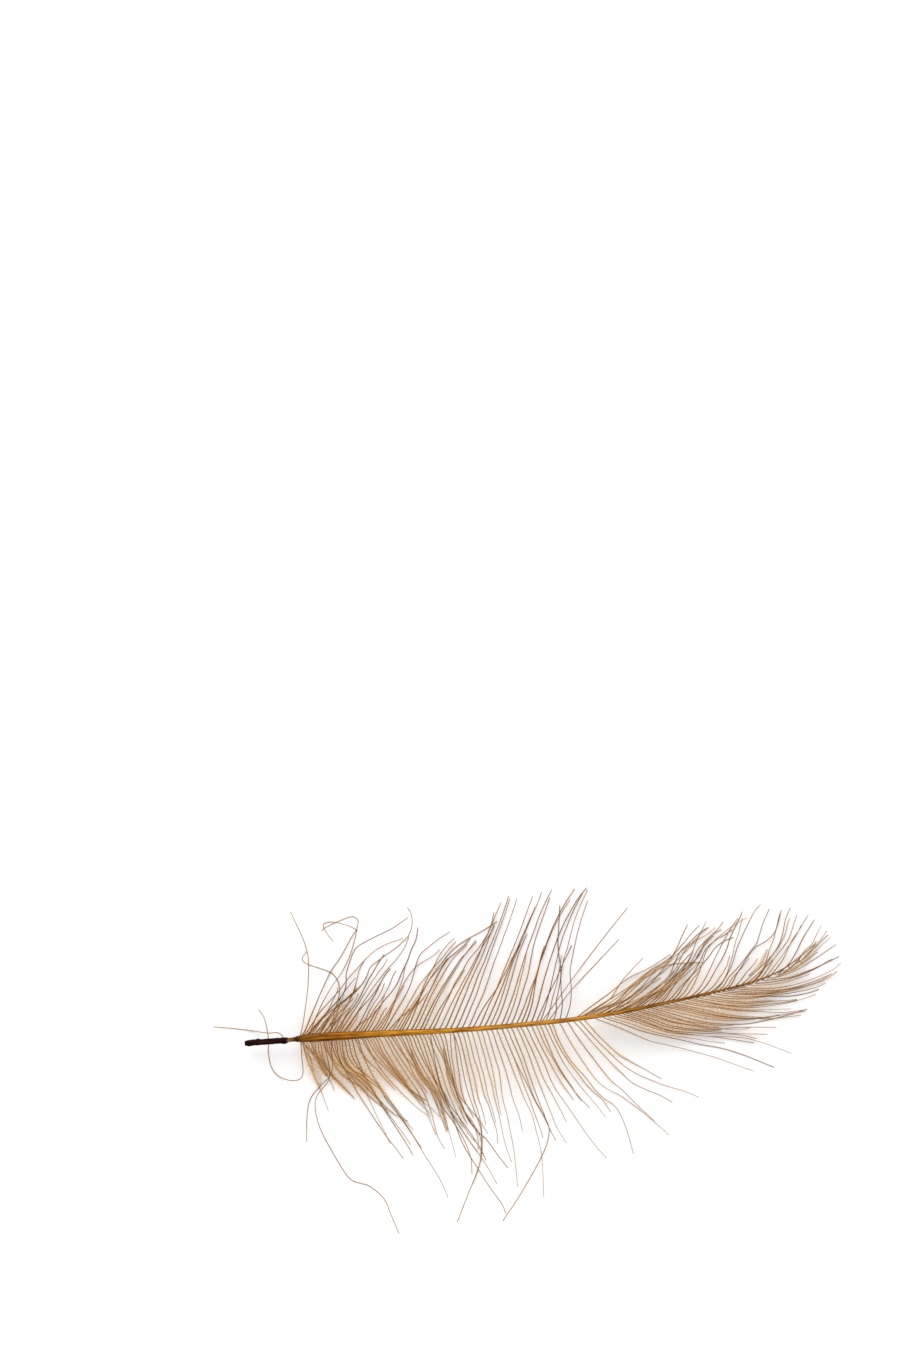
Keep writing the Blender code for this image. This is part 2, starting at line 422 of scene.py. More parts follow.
def sample(places: np.ndarray, run: np.ndarray, table: np.ndarray) -> np.ndarray:
    """Read a table between its rows.

    Args:
        places: where to read, as distances along a line.
        run: the distance of each of the table's rows.
        table: the rows.

    Returns:
        One row a place.
    """
    return np.stack([np.interp(places, run, column) for column in table.T], axis=1)


def even_line(points: np.ndarray, shares: np.ndarray) -> np.ndarray:
    """Find the places at given parts of a line's length.

    Args:
        points: the line's points, one row each.
        shares: parts of its length, from 0 to 1.

    Returns:
        The places, one row each.
    """
    run = run_along(points)
    return sample(shares * run[-1], run, points)


def unit(vectors: np.ndarray) -> np.ndarray:
    """Scale vectors, which are the rows of the last axis, to length one."""
    return vectors / np.maximum(np.linalg.norm(vectors, axis=-1, keepdims=True), 1e-12)


def quarter_turn(plan: np.ndarray) -> np.ndarray:
    """Turn vectors in plan, with x and y on the last axis, left by a right angle."""
    return np.stack([-plan[..., 1], plan[..., 0]], axis=-1)


def settle(share: np.ndarray) -> np.ndarray:
    """Ease from 1 where the share is 0 down to 0 where it is 1."""
    return 0.5 * (1.0 + np.cos(np.pi * share))


def from_sheet(points: tuple) -> np.ndarray:
    """Turn points on the tracing sheet into x and y in millimetres."""
    return (np.array(points, dtype=float) - SHEET_ORIGIN) * (SHEET_SQUARE, -SHEET_SQUARE)


def tube_faces(tubes: int, rings: int, sides: int) -> list[np.ndarray]:
    """Number the faces of closed tubes whose points are listed by tube, ring and side.

    Args:
        tubes: how many tubes there are.
        rings: how many rings of points each has.
        sides: how many points a ring has.

    Returns:
        The walls' faces and the end caps.
    """
    index = np.arange(tubes * rings * sides).reshape(tubes, rings, sides)
    after = np.roll(index, -1, axis=2)
    walls = np.stack([index[:, :-1], after[:, :-1], after[:, 1:], index[:, 1:]], axis=-1)
    return [walls.reshape(-1, 4), np.concatenate([index[:, 0, ::-1], index[:, -1]])]


def mesh_object(
    name: str,
    verts: np.ndarray,
    faces: list[np.ndarray],
    values: dict[str, np.ndarray],
    smooth: bool = True,
) -> bpy.types.Object:
    """Make a mesh object from arrays.

    Args:
        name: the piece's name.
        verts: vertex places in millimetres, one row each.
        faces: arrays of vertex numbers, one row a face, all rows of one array the same length.
        values: attributes on the vertices by name, one number or one x, y, z row each.
        smooth: whether it is shaded as round rather than as flat faces.

    Returns:
        The object, linked to the scene.
    """
    mesh = bpy.data.meshes.new(name)
    mesh.vertices.add(len(verts))
    mesh.vertices.foreach_set("co", (verts * MM).astype(np.float32).ravel())
    corners = np.concatenate([part.ravel() for part in faces]).astype(np.int32)
    sizes = np.concatenate([np.full(len(part), part.shape[1], dtype=np.int32) for part in faces])
    starts = np.concatenate([[0], np.cumsum(sizes)[:-1]]).astype(np.int32)
    mesh.loops.add(len(corners))
    mesh.loops.foreach_set("vertex_index", corners)
    mesh.polygons.add(len(sizes))
    mesh.polygons.foreach_set("loop_start", starts)
    mesh.polygons.foreach_set("use_smooth", np.full(len(sizes), smooth))
    mesh.update(calc_edges=True)
    for key, data in values.items():
        kind, slot = ("FLOAT", "value") if data.ndim == 1 else ("FLOAT_VECTOR", "vector")
        layer = mesh.attributes.new(key, kind, "POINT")
        layer.data.foreach_set(slot, data.astype(np.float32).ravel())
    item = bpy.data.objects.new(name, mesh)
    bpy.context.scene.collection.objects.link(item)
    return item


def dress(item: bpy.types.Object, material: bpy.types.Material) -> None:
    """Give a piece its material and its body, and hide the solid that it stands for.

    Args:
        item: the piece.
        material: its finish.
    """
    item.data.materials.append(material)
    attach(item, BODY)
    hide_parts(NODE)
    triangles = sum(len(polygon.vertices) - 2 for polygon in item.data.polygons)
    LOG.info("%s: %d triangles", item.name, triangles)


@dataclass
class Shaft:
    """The cut quill stub, its collar, the swelling at the first barbs and the tapering rachis.

    route is the middle line's x, y and height. radii are half the thickness at stations along x.
    Each of stub_lumps is a station, the way round in radians, a height and a length along the stub.
    The grooves run along the crown, each at a part of the radius to the side.
    """

    route: tuple = (
        (-28.1, 1.70, 1.55),
        (-24.2, 2.03, 1.95),
        (-21.5, 2.28, 2.15),
        (-15.1, 2.70, 2.60),
        (-7.1, 3.10, 2.90),
        (-1.0, 3.60, 2.95),
        (4.8, 4.20, 2.80),
        (10.2, 5.05, 2.50),
        (17.1, 6.50, 2.00),
        (22.2, 7.75, 1.55),
        (25.6, 9.10, 1.20),
        (28.85, 11.60, 0.80),
    )
    radii: tuple = (
        (-28.1, 0.24),
        (-27.95, 0.31),
        (-26.0, 0.30),
        (-24.4, 0.29),
        (-23.95, 0.25),
        (-23.8, 0.215),
        (-23.2, 0.225),
        (-22.95, 0.30),
        (-22.4, 0.36),
        (-21.6, 0.42),
        (-18.2, 0.42),
        (-15.1, 0.34),
        (-7.1, 0.25),
        (4.8, 0.23),
        (11.3, 0.19),
        (17.1, 0.13),
        (22.2, 0.085),
        (28.85, 0.045),
    )
    smoothness: int = 24
    sides: int = 20
    step: float = 0.12
    stub_end: float = -23.85
    overlap: float = 0.1
    ragged: tuple = (-0.12, 0.04)
    coarseness: float = 0.028
    stub_lumps: tuple = (
        (-27.75, 0.4, 0.05, 0.20),
        (-27.35, 2.8, 0.05, 0.20),
        (-26.85, 3.1, 0.10, 0.14),
        (-25.60, 2.0, 0.03, 0.30),
        (-24.25, 0.1, 0.11, 0.26),
        (-24.20, 2.6, 0.06, 0.20),
    )
    lump_turn: float = 0.6
    groove_depth: float = 0.16
    groove_width: float = 0.16
    groove_span: tuple = (-22.6, -14.0)
    groove_fades: tuple = (1.0, 4.0)
    groove_places: tuple = (0.55, -0.35)
    streak_stretch: float = 0.05
    line: np.ndarray = field(init=False)

    def __post_init__(self) -> None:
        """Work out the middle line once."""
        self.line = smooth_line(np.array(self.route), self.smoothness)

    def at(self, x: np.ndarray) -> tuple[np.ndarray, np.ndarray]:
        """Find the shaft's middle.

        Args:
            x: stations along the feather.

        Returns:
            Its y and its height at those stations.
        """
        y = np.interp(x, self.line[:, 0], self.line[:, 1])
        z = np.interp(x, self.line[:, 0], self.line[:, 2])
        return y, z

    def radius(self, x: np.ndarray) -> np.ndarray:
        """Find half the shaft's thickness at stations along the feather."""
        table = np.array(self.radii)
        return np.interp(x, table[:, 0], table[:, 1])

    def grooves(self, angle: np.ndarray, station: np.ndarray) -> np.ndarray:
        """Find how deep in a groove each point of the skin lies.

        Args:
            angle: the way round in radians, with the crown at a quarter turn.
            station: the place along the feather.

        Returns:
            0 outside the grooves to 1 in the middle of one.
        """
        (start, stop), (fade_in, fade_out) = self.groove_span, self.groove_fades
        fade = np.clip((station - start) / fade_in, 0, 1)
        fade = fade * np.clip((stop - station) / fade_out, 0, 1)
        groove = np.zeros_like(angle)
        for place in self.groove_places:
            away = ((np.cos(angle) - place) / self.groove_width) ** 2
            groove = np.maximum(groove, np.exp(-away) * (np.sin(angle) > 0))
        return groove * fade

    def skin(
        self, angle: np.ndarray, station: np.ndarray, groove: np.ndarray, rng: np.random.Generator
    ) -> np.ndarray:
        """Find how far from the middle each point of the skin lies.

        Args:
            angle: the way round in radians.
            station: the place along the feather.
            groove: how deep in a groove the point lies.
            rng: the source of the stub's unevenness.

        Returns:
            The distances.
        """
        radius = self.radius(station) * (1.0 - self.groove_depth * groove)
        rough = rng.standard_normal((len(angle), 1)) + rng.standard_normal(angle.shape)
        rough = self.coarseness * (station < self.stub_end) * rough
        radius = radius * (1.0 + rough)
        for place, turn, height, spread in self.stub_lumps:
            turned = (angle - turn + np.pi) % (2 * np.pi) - np.pi
            away = ((station - place) / spread) ** 2 + (turned / self.lump_turn) ** 2
            radius = radius + height * np.exp(-away)
        return radius

    def sweep(
        self, name: str, first: float, last: float, rng: np.random.Generator
    ) -> bpy.types.Object:
        """Sweep the shaft's section along a stretch of its middle line.

        Args:
            name: the piece's name.
            first: the station where it starts.
            last: the station where it ends.
            rng: the source of its small unevenness.

        Returns:
            The piece.
        """
        x = np.linspace(first, last, int((last - first) / self.step))
        y, z = self.at(x)
        middle = np.stack([x, y, z], axis=1)
        tangent = unit(np.gradient(middle, axis=0))
        side = unit(np.cross(tangent, UP))
        top = np.cross(side, tangent)
        around = np.linspace(0.0, 2 * np.pi, self.sides, endpoint=False)
        angle = np.broadcast_to(around, (len(x), self.sides))
        station = np.broadcast_to(x[:, None], angle.shape)
        groove = self.grooves(angle, station)
        radius = self.skin(angle, station, groove, rng)
        across, rise = radius * np.cos(angle), radius * np.sin(angle)
        shift = np.zeros(angle.shape)
        shift[0] = rng.uniform(*self.ragged, self.sides) * (first < self.stub_end)
        verts = middle[:, None, :] + shift[..., None] * tangent[:, None, :]
        verts = verts + across[..., None] * side[:, None, :]
        verts = verts + rise[..., None] * top[:, None, :]
        run = np.interp(x, self.line[:, 0], run_along(self.line))
        along = np.broadcast_to(run[:, None], angle.shape)
        streaks = np.stack([along * self.streak_stretch, across, rise], axis=-1)
        values = {
            "along": along.ravel(),
            # how far the skin faces up; the shaft's painted shade on its sides and underside
            # follows it
            "crown": (0.5 + 0.5 * np.sin(angle)).ravel(),
            "groove": groove.ravel(),
            "streaks": streaks.reshape(-1, 3),
        }
        return mesh_object(name, verts.reshape(-1, 3), tube_faces(1, *angle.shape), values)

    def build(self, rng: np.random.Generator) -> None:
        """Make the stub and the rachis, each with its finish.

        Args:
            rng: the source of their small unevenness.
        """
        first, last = self.route[0][0], self.route[-1][0]
        dress(self.sweep("quill_stub", first, self.stub_end, rng), DriedSheath().material())
        rachis = self.sweep("rachis", self.stub_end - self.overlap, last, rng)
        dress(rachis, ShaftKeratin(length=float(run_along(self.line)[-1])).material())


@dataclass
class Barb:
    """One barb's middle line and thickness, and how much down it carries."""

    points: np.ndarray
    radii: np.ndarray
    tone: float
    down_length: np.ndarray
    down_gap: float


def barb_mesh(name: str, barbs: list[Barb], paleness: float) -> bpy.types.Object:
    """Sweep barbs into one mesh.

    Args:
        name: the piece's name.
        barbs: the barbs.
        paleness: where on the way from a barb's dark root to its pale tip their colour starts.

    Returns:
        The piece, each barb a closed tapering tube in it.
    """
    points = np.stack([barb.points for barb in barbs])
    radii = np.stack([barb.radii for barb in barbs])
    tangent = unit(np.gradient(points, axis=1))
    side = unit(np.cross(tangent, UP))
    top = np.cross(side, tangent)
    turn = np.linspace(0.0, 2 * np.pi, BARB_SIDES, endpoint=False)[:, None]
    ring = side[:, :, None, :] * np.cos(turn) + top[:, :, None, :] * np.sin(turn)
    verts = points[:, :, None, :] + radii[:, :, None, None] * ring
    shape = verts.shape[:3]
    reach = np.broadcast_to(np.linspace(paleness, 1.0, shape[1])[None, :, None], shape)
    tone = np.broadcast_to(np.array([barb.tone for barb in barbs])[:, None, None], shape)
    values = {"reach": reach.ravel(), "tone": tone.ravel()}
    return mesh_object(name, verts.reshape(-1, 3), tube_faces(*shape), values)


@dataclass
class Down:
    """The barbules: short threads on both sides of every barb, leaning towards its tip.

    Real ones are a few thousandths of a millimetre thick and about 0.02 mm apart, too fine to
    show. They are drawn three or four times as thick and half as close, so their mass gives the
    same wash. Neighbours cling in tufts, which share a lean in degrees and a droop, and gather at
    the ends.
    """

    width: float = 0.015
    width_play: tuple = (0.8, 1.2)
    length_play: tuple = (0.65, 1.1)
    gap_play: float = 0.4
    lean: float = 57.0
    tuft_lean: float = 10.0
    thread_lean: float = 5.0
    tuft_droop: float = 0.40
    thread_droop: float = 0.1
    tuft: float = 0.22
    gather: float = 0.35
    bare_root: float = 0.45
    least: float = 0.06
    lowest: float = 0.012
    tone: float = 0.5
    tone_play: float = 0.2
    tone_follow: float = 0.7
    usual_barb_tone: float = 0.6

    def threads(self, barb: Barb, rng: np.random.Generator) -> tuple[np.ndarray, np.ndarray]:
        """Grow one barb's threads.

        Args:
            barb: what they grow from.
            rng: the source of their unevenness.

        Returns:
            Their corners, four a thread, and each thread's tone.
        """
        run = run_along(barb.points)
        tangent = unit(np.gradient(barb.points, axis=0))
        own_tone = self.tone_follow * (barb.tone - self.usual_barb_tone)
        corners, tones = [], []
        for sign in (-1.0, 1.0):
            place = np.arange(self.bare_root, run[-1], barb.down_gap)
            play = rng.uniform(-self.gap_play, self.gap_play, len(place))
            place = np.clip(place + play * barb.down_gap, 0.0, run[-1])
            place = place[np.interp(place, run, barb.down_length) > self.least]
            count = len(place)
            root = sample(place, run, barb.points)
            ahead = unit(sample(place, run, tangent))
            across = sign * unit(np.cross(UP, ahead))
            tuft = (place / self.tuft).astype(int)
            tufts = int(tuft.max()) + 1 if count else 1
            tuft_lean = rng.normal(0.0, self.tuft_lean, tufts)[tuft]
            lean = self.lean + tuft_lean + rng.normal(0.0, self.thread_lean, count)
            lean = np.radians(lean)[:, None]
            rise = rng.uniform(-self.tuft_droop, 0.0, tufts)[tuft][:, None]
            rise = rise + rng.uniform(-self.thread_droop, self.thread_droop, (count, 1))
            way = unit(np.cos(lean) * ahead + np.sin(lean) * across + rise * UP)
            length = np.interp(place, run, barb.down_length) * rng.uniform(*self.length_play, count)
            tip = root + length[:, None] * way
            total = np.zeros((tufts, 3))
            np.add.at(total, tuft, tip)
            members = np.maximum(np.bincount(tuft, minlength=tufts), 1)[:, None]
            tip = tip + self.gather * ((total / members)[tuft] - tip)
            tip[:, 2] = np.maximum(tip[:, 2], self.lowest)
            flat = unit(np.cross(way, UP))
            half = 0.5 * self.width * rng.uniform(*self.width_play, (count, 1))
            foot = (root + half * flat, root - half * flat, root + half * UP)
            corners.append(np.stack([*foot, tip], axis=1))
            tone = rng.normal(self.tone, self.tone_play, count) + own_tone
            tones.append(np.clip(tone, 0.0, 1.0))
        return np.concatenate(corners), np.concatenate(tones)

    def build(self, name: str, barbs: list[Barb], rng: np.random.Generator) -> bpy.types.Object:
        """Grow the threads of several barbs as one piece.

        Args:
            name: the piece's name.
            barbs: what they grow from.
            rng: the source of their unevenness.

        Returns:
            The piece, each thread a closed, pointed, three-sided sliver in it.
        """
        grown = [self.threads(barb, rng) for barb in barbs]
        corners = np.concatenate([part[0] for part in grown])
        tones = np.concatenate([part[1] for part in grown])
        first = 4 * np.arange(len(corners))[:, None]
        sliver = np.array([[0, 1, 3], [1, 2, 3], [2, 0, 3], [0, 2, 1]])
        faces = (first[:, :, None] + sliver[None, :, :]).reshape(-1, 3)
        values = {"tone": np.repeat(tones, 4)}
        return mesh_object(name, corners.reshape(-1, 3), [faces], values, smooth=False)


@dataclass
class Plumage:
    """What all the barbs share: their keratin, their down and its keratin."""

    barb_finish: bpy.types.Material
    down_finish: bpy.types.Material
    down: Down = field(default_factory=Down)

    def build(
        self, name: str, barbs: list[Barb], rng: np.random.Generator, paleness: float = 0.0
    ) -> None:
        """Make a group of barbs and their down, each with its finish.

        Args:
            name: what both pieces' names start with.
            barbs: the barbs.
            rng: the source of the down's unevenness.
            paleness: where on the way from dark root to pale tip the barbs' colour starts.
        """
        dress(barb_mesh(f"{name}_barbs", barbs, paleness), self.barb_finish)
        dress(self.down.build(f"{name}_down", barbs, rng), self.down_finish)


@dataclass(frozen=True)
class Growth:
    """How barbs grow around one station of the shaft; a vane blends from one station to the next.

    station and gap are sheet squares, turn is degrees, and wave, down and down_gap are
    millimetres. shortest is the shortest barb as a part of its neighbours' reach, crowd is above
    1 where most are short, turn is how far a barb may lean from its neighbours, down is the
    length of the down's threads and down_end the part of the reach where the down stops.
    """

    station: float
    gap: float
    shortest: float
    crowd: float
    turn: float
    wave: float
    down: float
    down_gap: float
    down_end: float


@dataclass(frozen=True)
class Layout:
    """Where a vane's barbs stand and how long they are, one row each.

    places are counted in traced barbs, station is in sheet squares, and filled is 1 for a barb that
    fills in and 0 for a traced one. length is a part of the neighbours' reach, and along the parts
    of that reach at a barb's points.
    """

    places: np.ndarray
    station: np.ndarray
    filled: np.ndarray
    length: np.ndarray
    along: np.ndarray


@dataclass
class Vane:
    """One stretch of a vane: traced barbs from the shaft to their tips, and how others fill in.

    kinship is how far a filling barb copies the nearest traced one rather than blend two, and
    loose the part of the barbs that swing out by about loose_turn degrees. landing is the part of
    the way at which a barb reaches the surface, lift how high it may stay above it, lifted_by
    where it is that high, and turned_by where it has taken up its own turn. The two fades are
    parts of the reach.
    """

    name: str
    guides: tuple
    growth: tuple
    kinship: float = 0.6
    tones: tuple = (0.4, 1.0)
    loose: float = 0.08
    loose_turn: float = 0.0
    loose_play: tuple = (0.6, 1.4)
    turned_by: float = 0.35
    gap_play: float = 0.16
    smoothness: int = 8
    buried: float = 1.8
    traced_wave: float = 0.25
    wave_turns: tuple = (0.7, 2.4)
    wave_growth: float = 1.2
    fine_wave: float = 0.3
    fine_turns: float = 3.1
    landing: float = 0.62
    lift: float = 0.35
    lifted_by: float = 0.5
    thick: float = 0.056
    thin: float = 0.032
    taper: float = 0.8
    thickness_play: tuple = (0.85, 1.15)
    down_reach: float = 9.0
    down_play: tuple = (0.8, 1.2)
    down_fade: float = 0.25
    tip_fade: float = 0.15
    fade_curve: float = 0.7

    def value(self, name: str, station: np.ndarray) -> np.ndarray:
        """Read one of the growth's numbers.

        Args:
            name: which number.
            station: where along the shaft, in sheet squares.

        Returns:
            The number at each station.
        """
        stations = [stretch.station for stretch in self.growth]
        return np.interp(station, stations, [getattr(stretch, name) for stretch in self.growth])

    def traced(self, shaft: Shaft) -> np.ndarray:
        """Lay the traced barbs out in plan, rooted in the middle of the shaft.

        Args:
            shaft: what they grow from.

        Returns:
            An array of barbs by stations by x and y, in millimetres.
        """
        table = []
        for guide in self.guides:
            plan = from_sheet(guide)
            root_x = plan[0, 0] - self.buried * float(shaft.radius(plan[0, 0]))
            root = np.array([root_x, float(shaft.at(root_x)[0])])
            table.append(even_line(smooth_line(np.vstack([root, plan]), self.smoothness), REACH))
        return np.array(table)

    def places(self, rng: np.random.Generator) -> np.ndarray:
        """Choose where barbs grow: on every traced barb, and between two as the spacing asks.

        Args:
            rng: the source of the uneven spacing.

        Returns:
            Places counted in traced barbs, from 0 to the number of the last one.
        """
        stations = [guide[0][0] for guide in self.guides]
        places = list(np.arange(len(stations), dtype=float))
        for i, (start, stop) in enumerate(zip(stations[:-1], stations[1:])):
            extra = max(round((stop - start) / float(self.value("gap", start))) - 1, 0)
            for j in range(extra):
                play = rng.uniform(-self.gap_play, self.gap_play)
                places.append(i + (j + 1 + play) / (extra + 1))
        return np.array(places)

    def flow(self, table: np.ndarray, place: np.ndarray, along: np.ndarray) -> np.ndarray:
        """Blend the traced barbs.

        Args:
            table: the traced barbs in plan.
            place: places counted in traced barbs.
            along: parts of the way from root to tip, the same shape.

        Returns:
            Places in plan, with x and y on the last axis.
        """
        place = np.clip(place, 0.0, len(table) - 1.0)
        low = np.minimum(place.astype(int), len(table) - 2)
        share = (place - low)[..., None]
        step = np.clip(along, 0.0, 1.0) * (STATIONS - 1)
        before = np.minimum(step.astype(int), STATIONS - 2)
        part = (step - before)[..., None]
        lower = table[low, before] * (1 - part) + table[low, before + 1] * part
        upper = table[low + 1, before] * (1 - part) + table[low + 1, before + 1] * part
        return lower * (1 - share) + upper * share

    def lay_out(self, rng: np.random.Generator) -> Layout:
        """Choose where the barbs stand and how long each is.

        Args:
            rng: the source of the uneven spacing and lengths.

        Returns:
            The layout, with the traced barbs first.
        """
        traced = len(self.guides)
        places = self.places(rng)
        filled = (np.arange(len(places)) >= traced).astype(float)
        station = np.interp(places, np.arange(traced), [guide[0][0] for guide in self.guides])
        spread = rng.uniform(0.0, 1.0, len(places)) ** self.value("crowd", station)
        length = 1.0 - filled * (1.0 - self.value("shortest", station)) * (1.0 - spread)
        return Layout(places, station, filled, length, length[:, None] * REACH)

    def follow(self, shaft: Shaft, layout: Layout) -> np.ndarray:
        """Run all the barbs as the traced ones run.

        Args:
            shaft: what they grow from.
            layout: where they stand.

        Returns:
            The barbs in plan.
        """
        table = self.traced(shaft)
        spot = np.broadcast_to(layout.places[:, None], layout.along.shape)
        plan = self.flow(table, spot, layout.along)
        kin = self.flow(table, np.round(spot), layout.along)
        kin = kin + (plan[:, :1] - kin[:, :1])
        return plan + layout.filled[:, None, None] * self.kinship * (kin - plan)

    def swing(self, plan: np.ndarray, layout: Layout, rng: np.random.Generator) -> np.ndarray:
        """Turn the barbs that fill in about their roots, a few of them further.

        Args:
            plan: the barbs in plan.
            layout: where they stand.
            rng: the source of the turns.

        Returns:
            The barbs in plan.
        """
        count = len(plan)
        turn = self.value("turn", layout.station) * rng.normal(0.0, 1.0, count)
        extra = self.loose_turn * rng.uniform(*self.loose_play, count)
        turn = turn + extra * (rng.random(count) < self.loose)
        taken_up = np.clip(layout.along / self.turned_by, 0.0, 1.0)
        bend = np.radians(turn * layout.filled)[:, None] * taken_up
        return plan + np.sin(bend)[..., None] * quarter_turn(plan - plan[:, :1])

    def ripple(self, plan: np.ndarray, layout: Layout, rng: np.random.Generator) -> np.ndarray:
        """Make the barbs wavy, more so towards their tips.

        Args:
            plan: the barbs in plan.
            layout: where they stand.
            rng: the source of the waves.

        Returns:
            The barbs in plan.
        """
        across = unit(quarter_turn(np.gradient(plan, axis=1)))
        share = self.traced_wave + (1.0 - self.traced_wave) * layout.filled[:, None]
        wave = self.value("wave", layout.station)[:, None] * share
        turns = rng.uniform(*self.wave_turns, (len(plan), 1))
        phase = rng.uniform(0.0, 2 * np.pi, (len(plan), 1))
        broad = np.sin(2 * np.pi * turns * REACH + phase) - np.sin(phase)
        fine = self.fine_wave * np.sin(2 * np.pi * self.fine_turns * turns * REACH + 2 * phase)
        return plan + (REACH**self.wave_growth * wave * (broad + fine))[..., None] * across

    def down_lengths(
        self, plan: np.ndarray, layout: Layout, rng: np.random.Generator
    ) -> np.ndarray:
        """Find how long the down's threads are along each barb.

        Args:
            plan: the barbs in plan.
            layout: where they stand.
            rng: the source of the unevenness.

        Returns:
            The lengths, one row a barb.
        """
        ends = self.value("down_end", layout.station) * rng.uniform(*self.down_play, len(plan))
        whole = np.linalg.norm(np.diff(plan, axis=1), axis=2).sum(axis=1) / layout.length
        ends = np.minimum(ends, self.down_reach / whole)
        left = np.clip((ends[:, None] - layout.along) / self.down_fade, 0.0, 1.0)
        down = left**self.fade_curve * np.clip((1 - REACH) / self.tip_fade, 0, 1)
        longest = self.value("down", layout.station) * rng.uniform(*self.down_play, len(plan))
        return down * longest[:, None]

    def grow(self, shaft: Shaft, rng: np.random.Generator) -> list[Barb]:
        """Grow the barbs.

        Args:
            shaft: what they grow from.
            rng: the source of their unevenness.

        Returns:
            The barbs.
        """
        layout = self.lay_out(rng)
        count = len(layout.places)
        plan = self.follow(shaft, layout)
        plan = self.swing(plan, layout, rng)
        plan = self.ripple(plan, layout, rng)
        height = shaft.at(plan[:, 0, 0])[1][:, None]
        level = height * settle(np.clip(layout.along / self.landing, 0.0, 1.0))
        rising = np.sin(np.pi * np.clip(REACH, 0, self.lifted_by))
        loft = rng.uniform(0.0, self.lift, (count, 1)) * rising
        radii = self.thick + (self.thin - self.thick) * REACH**self.taper
        radii = radii * rng.uniform(*self.thickness_play, (count, 1))
        level = np.maximum(level + loft, radii + CLEARANCE)
        points = np.concatenate([plan, level[..., None]], axis=2)
        tone = rng.uniform(*self.tones, count)
        down = self.down_lengths(plan, layout, rng)
        gaps = self.value("down_gap", layout.station)
        rows = zip(points, radii, tone.tolist(), down, gaps.tolist())
        return [Barb(*row) for row in rows]

    def build(self, shaft: Shaft, plumage: Plumage, rng: np.random.Generator) -> None:
        """Make this stretch's barbs and their down, each with its finish.

        Args:
            shaft: what the barbs grow from.
            plumage: what all barbs share.
            rng: the source of their unevenness.
        """
        plumage.build(self.name, self.grow(shaft, rng), rng)


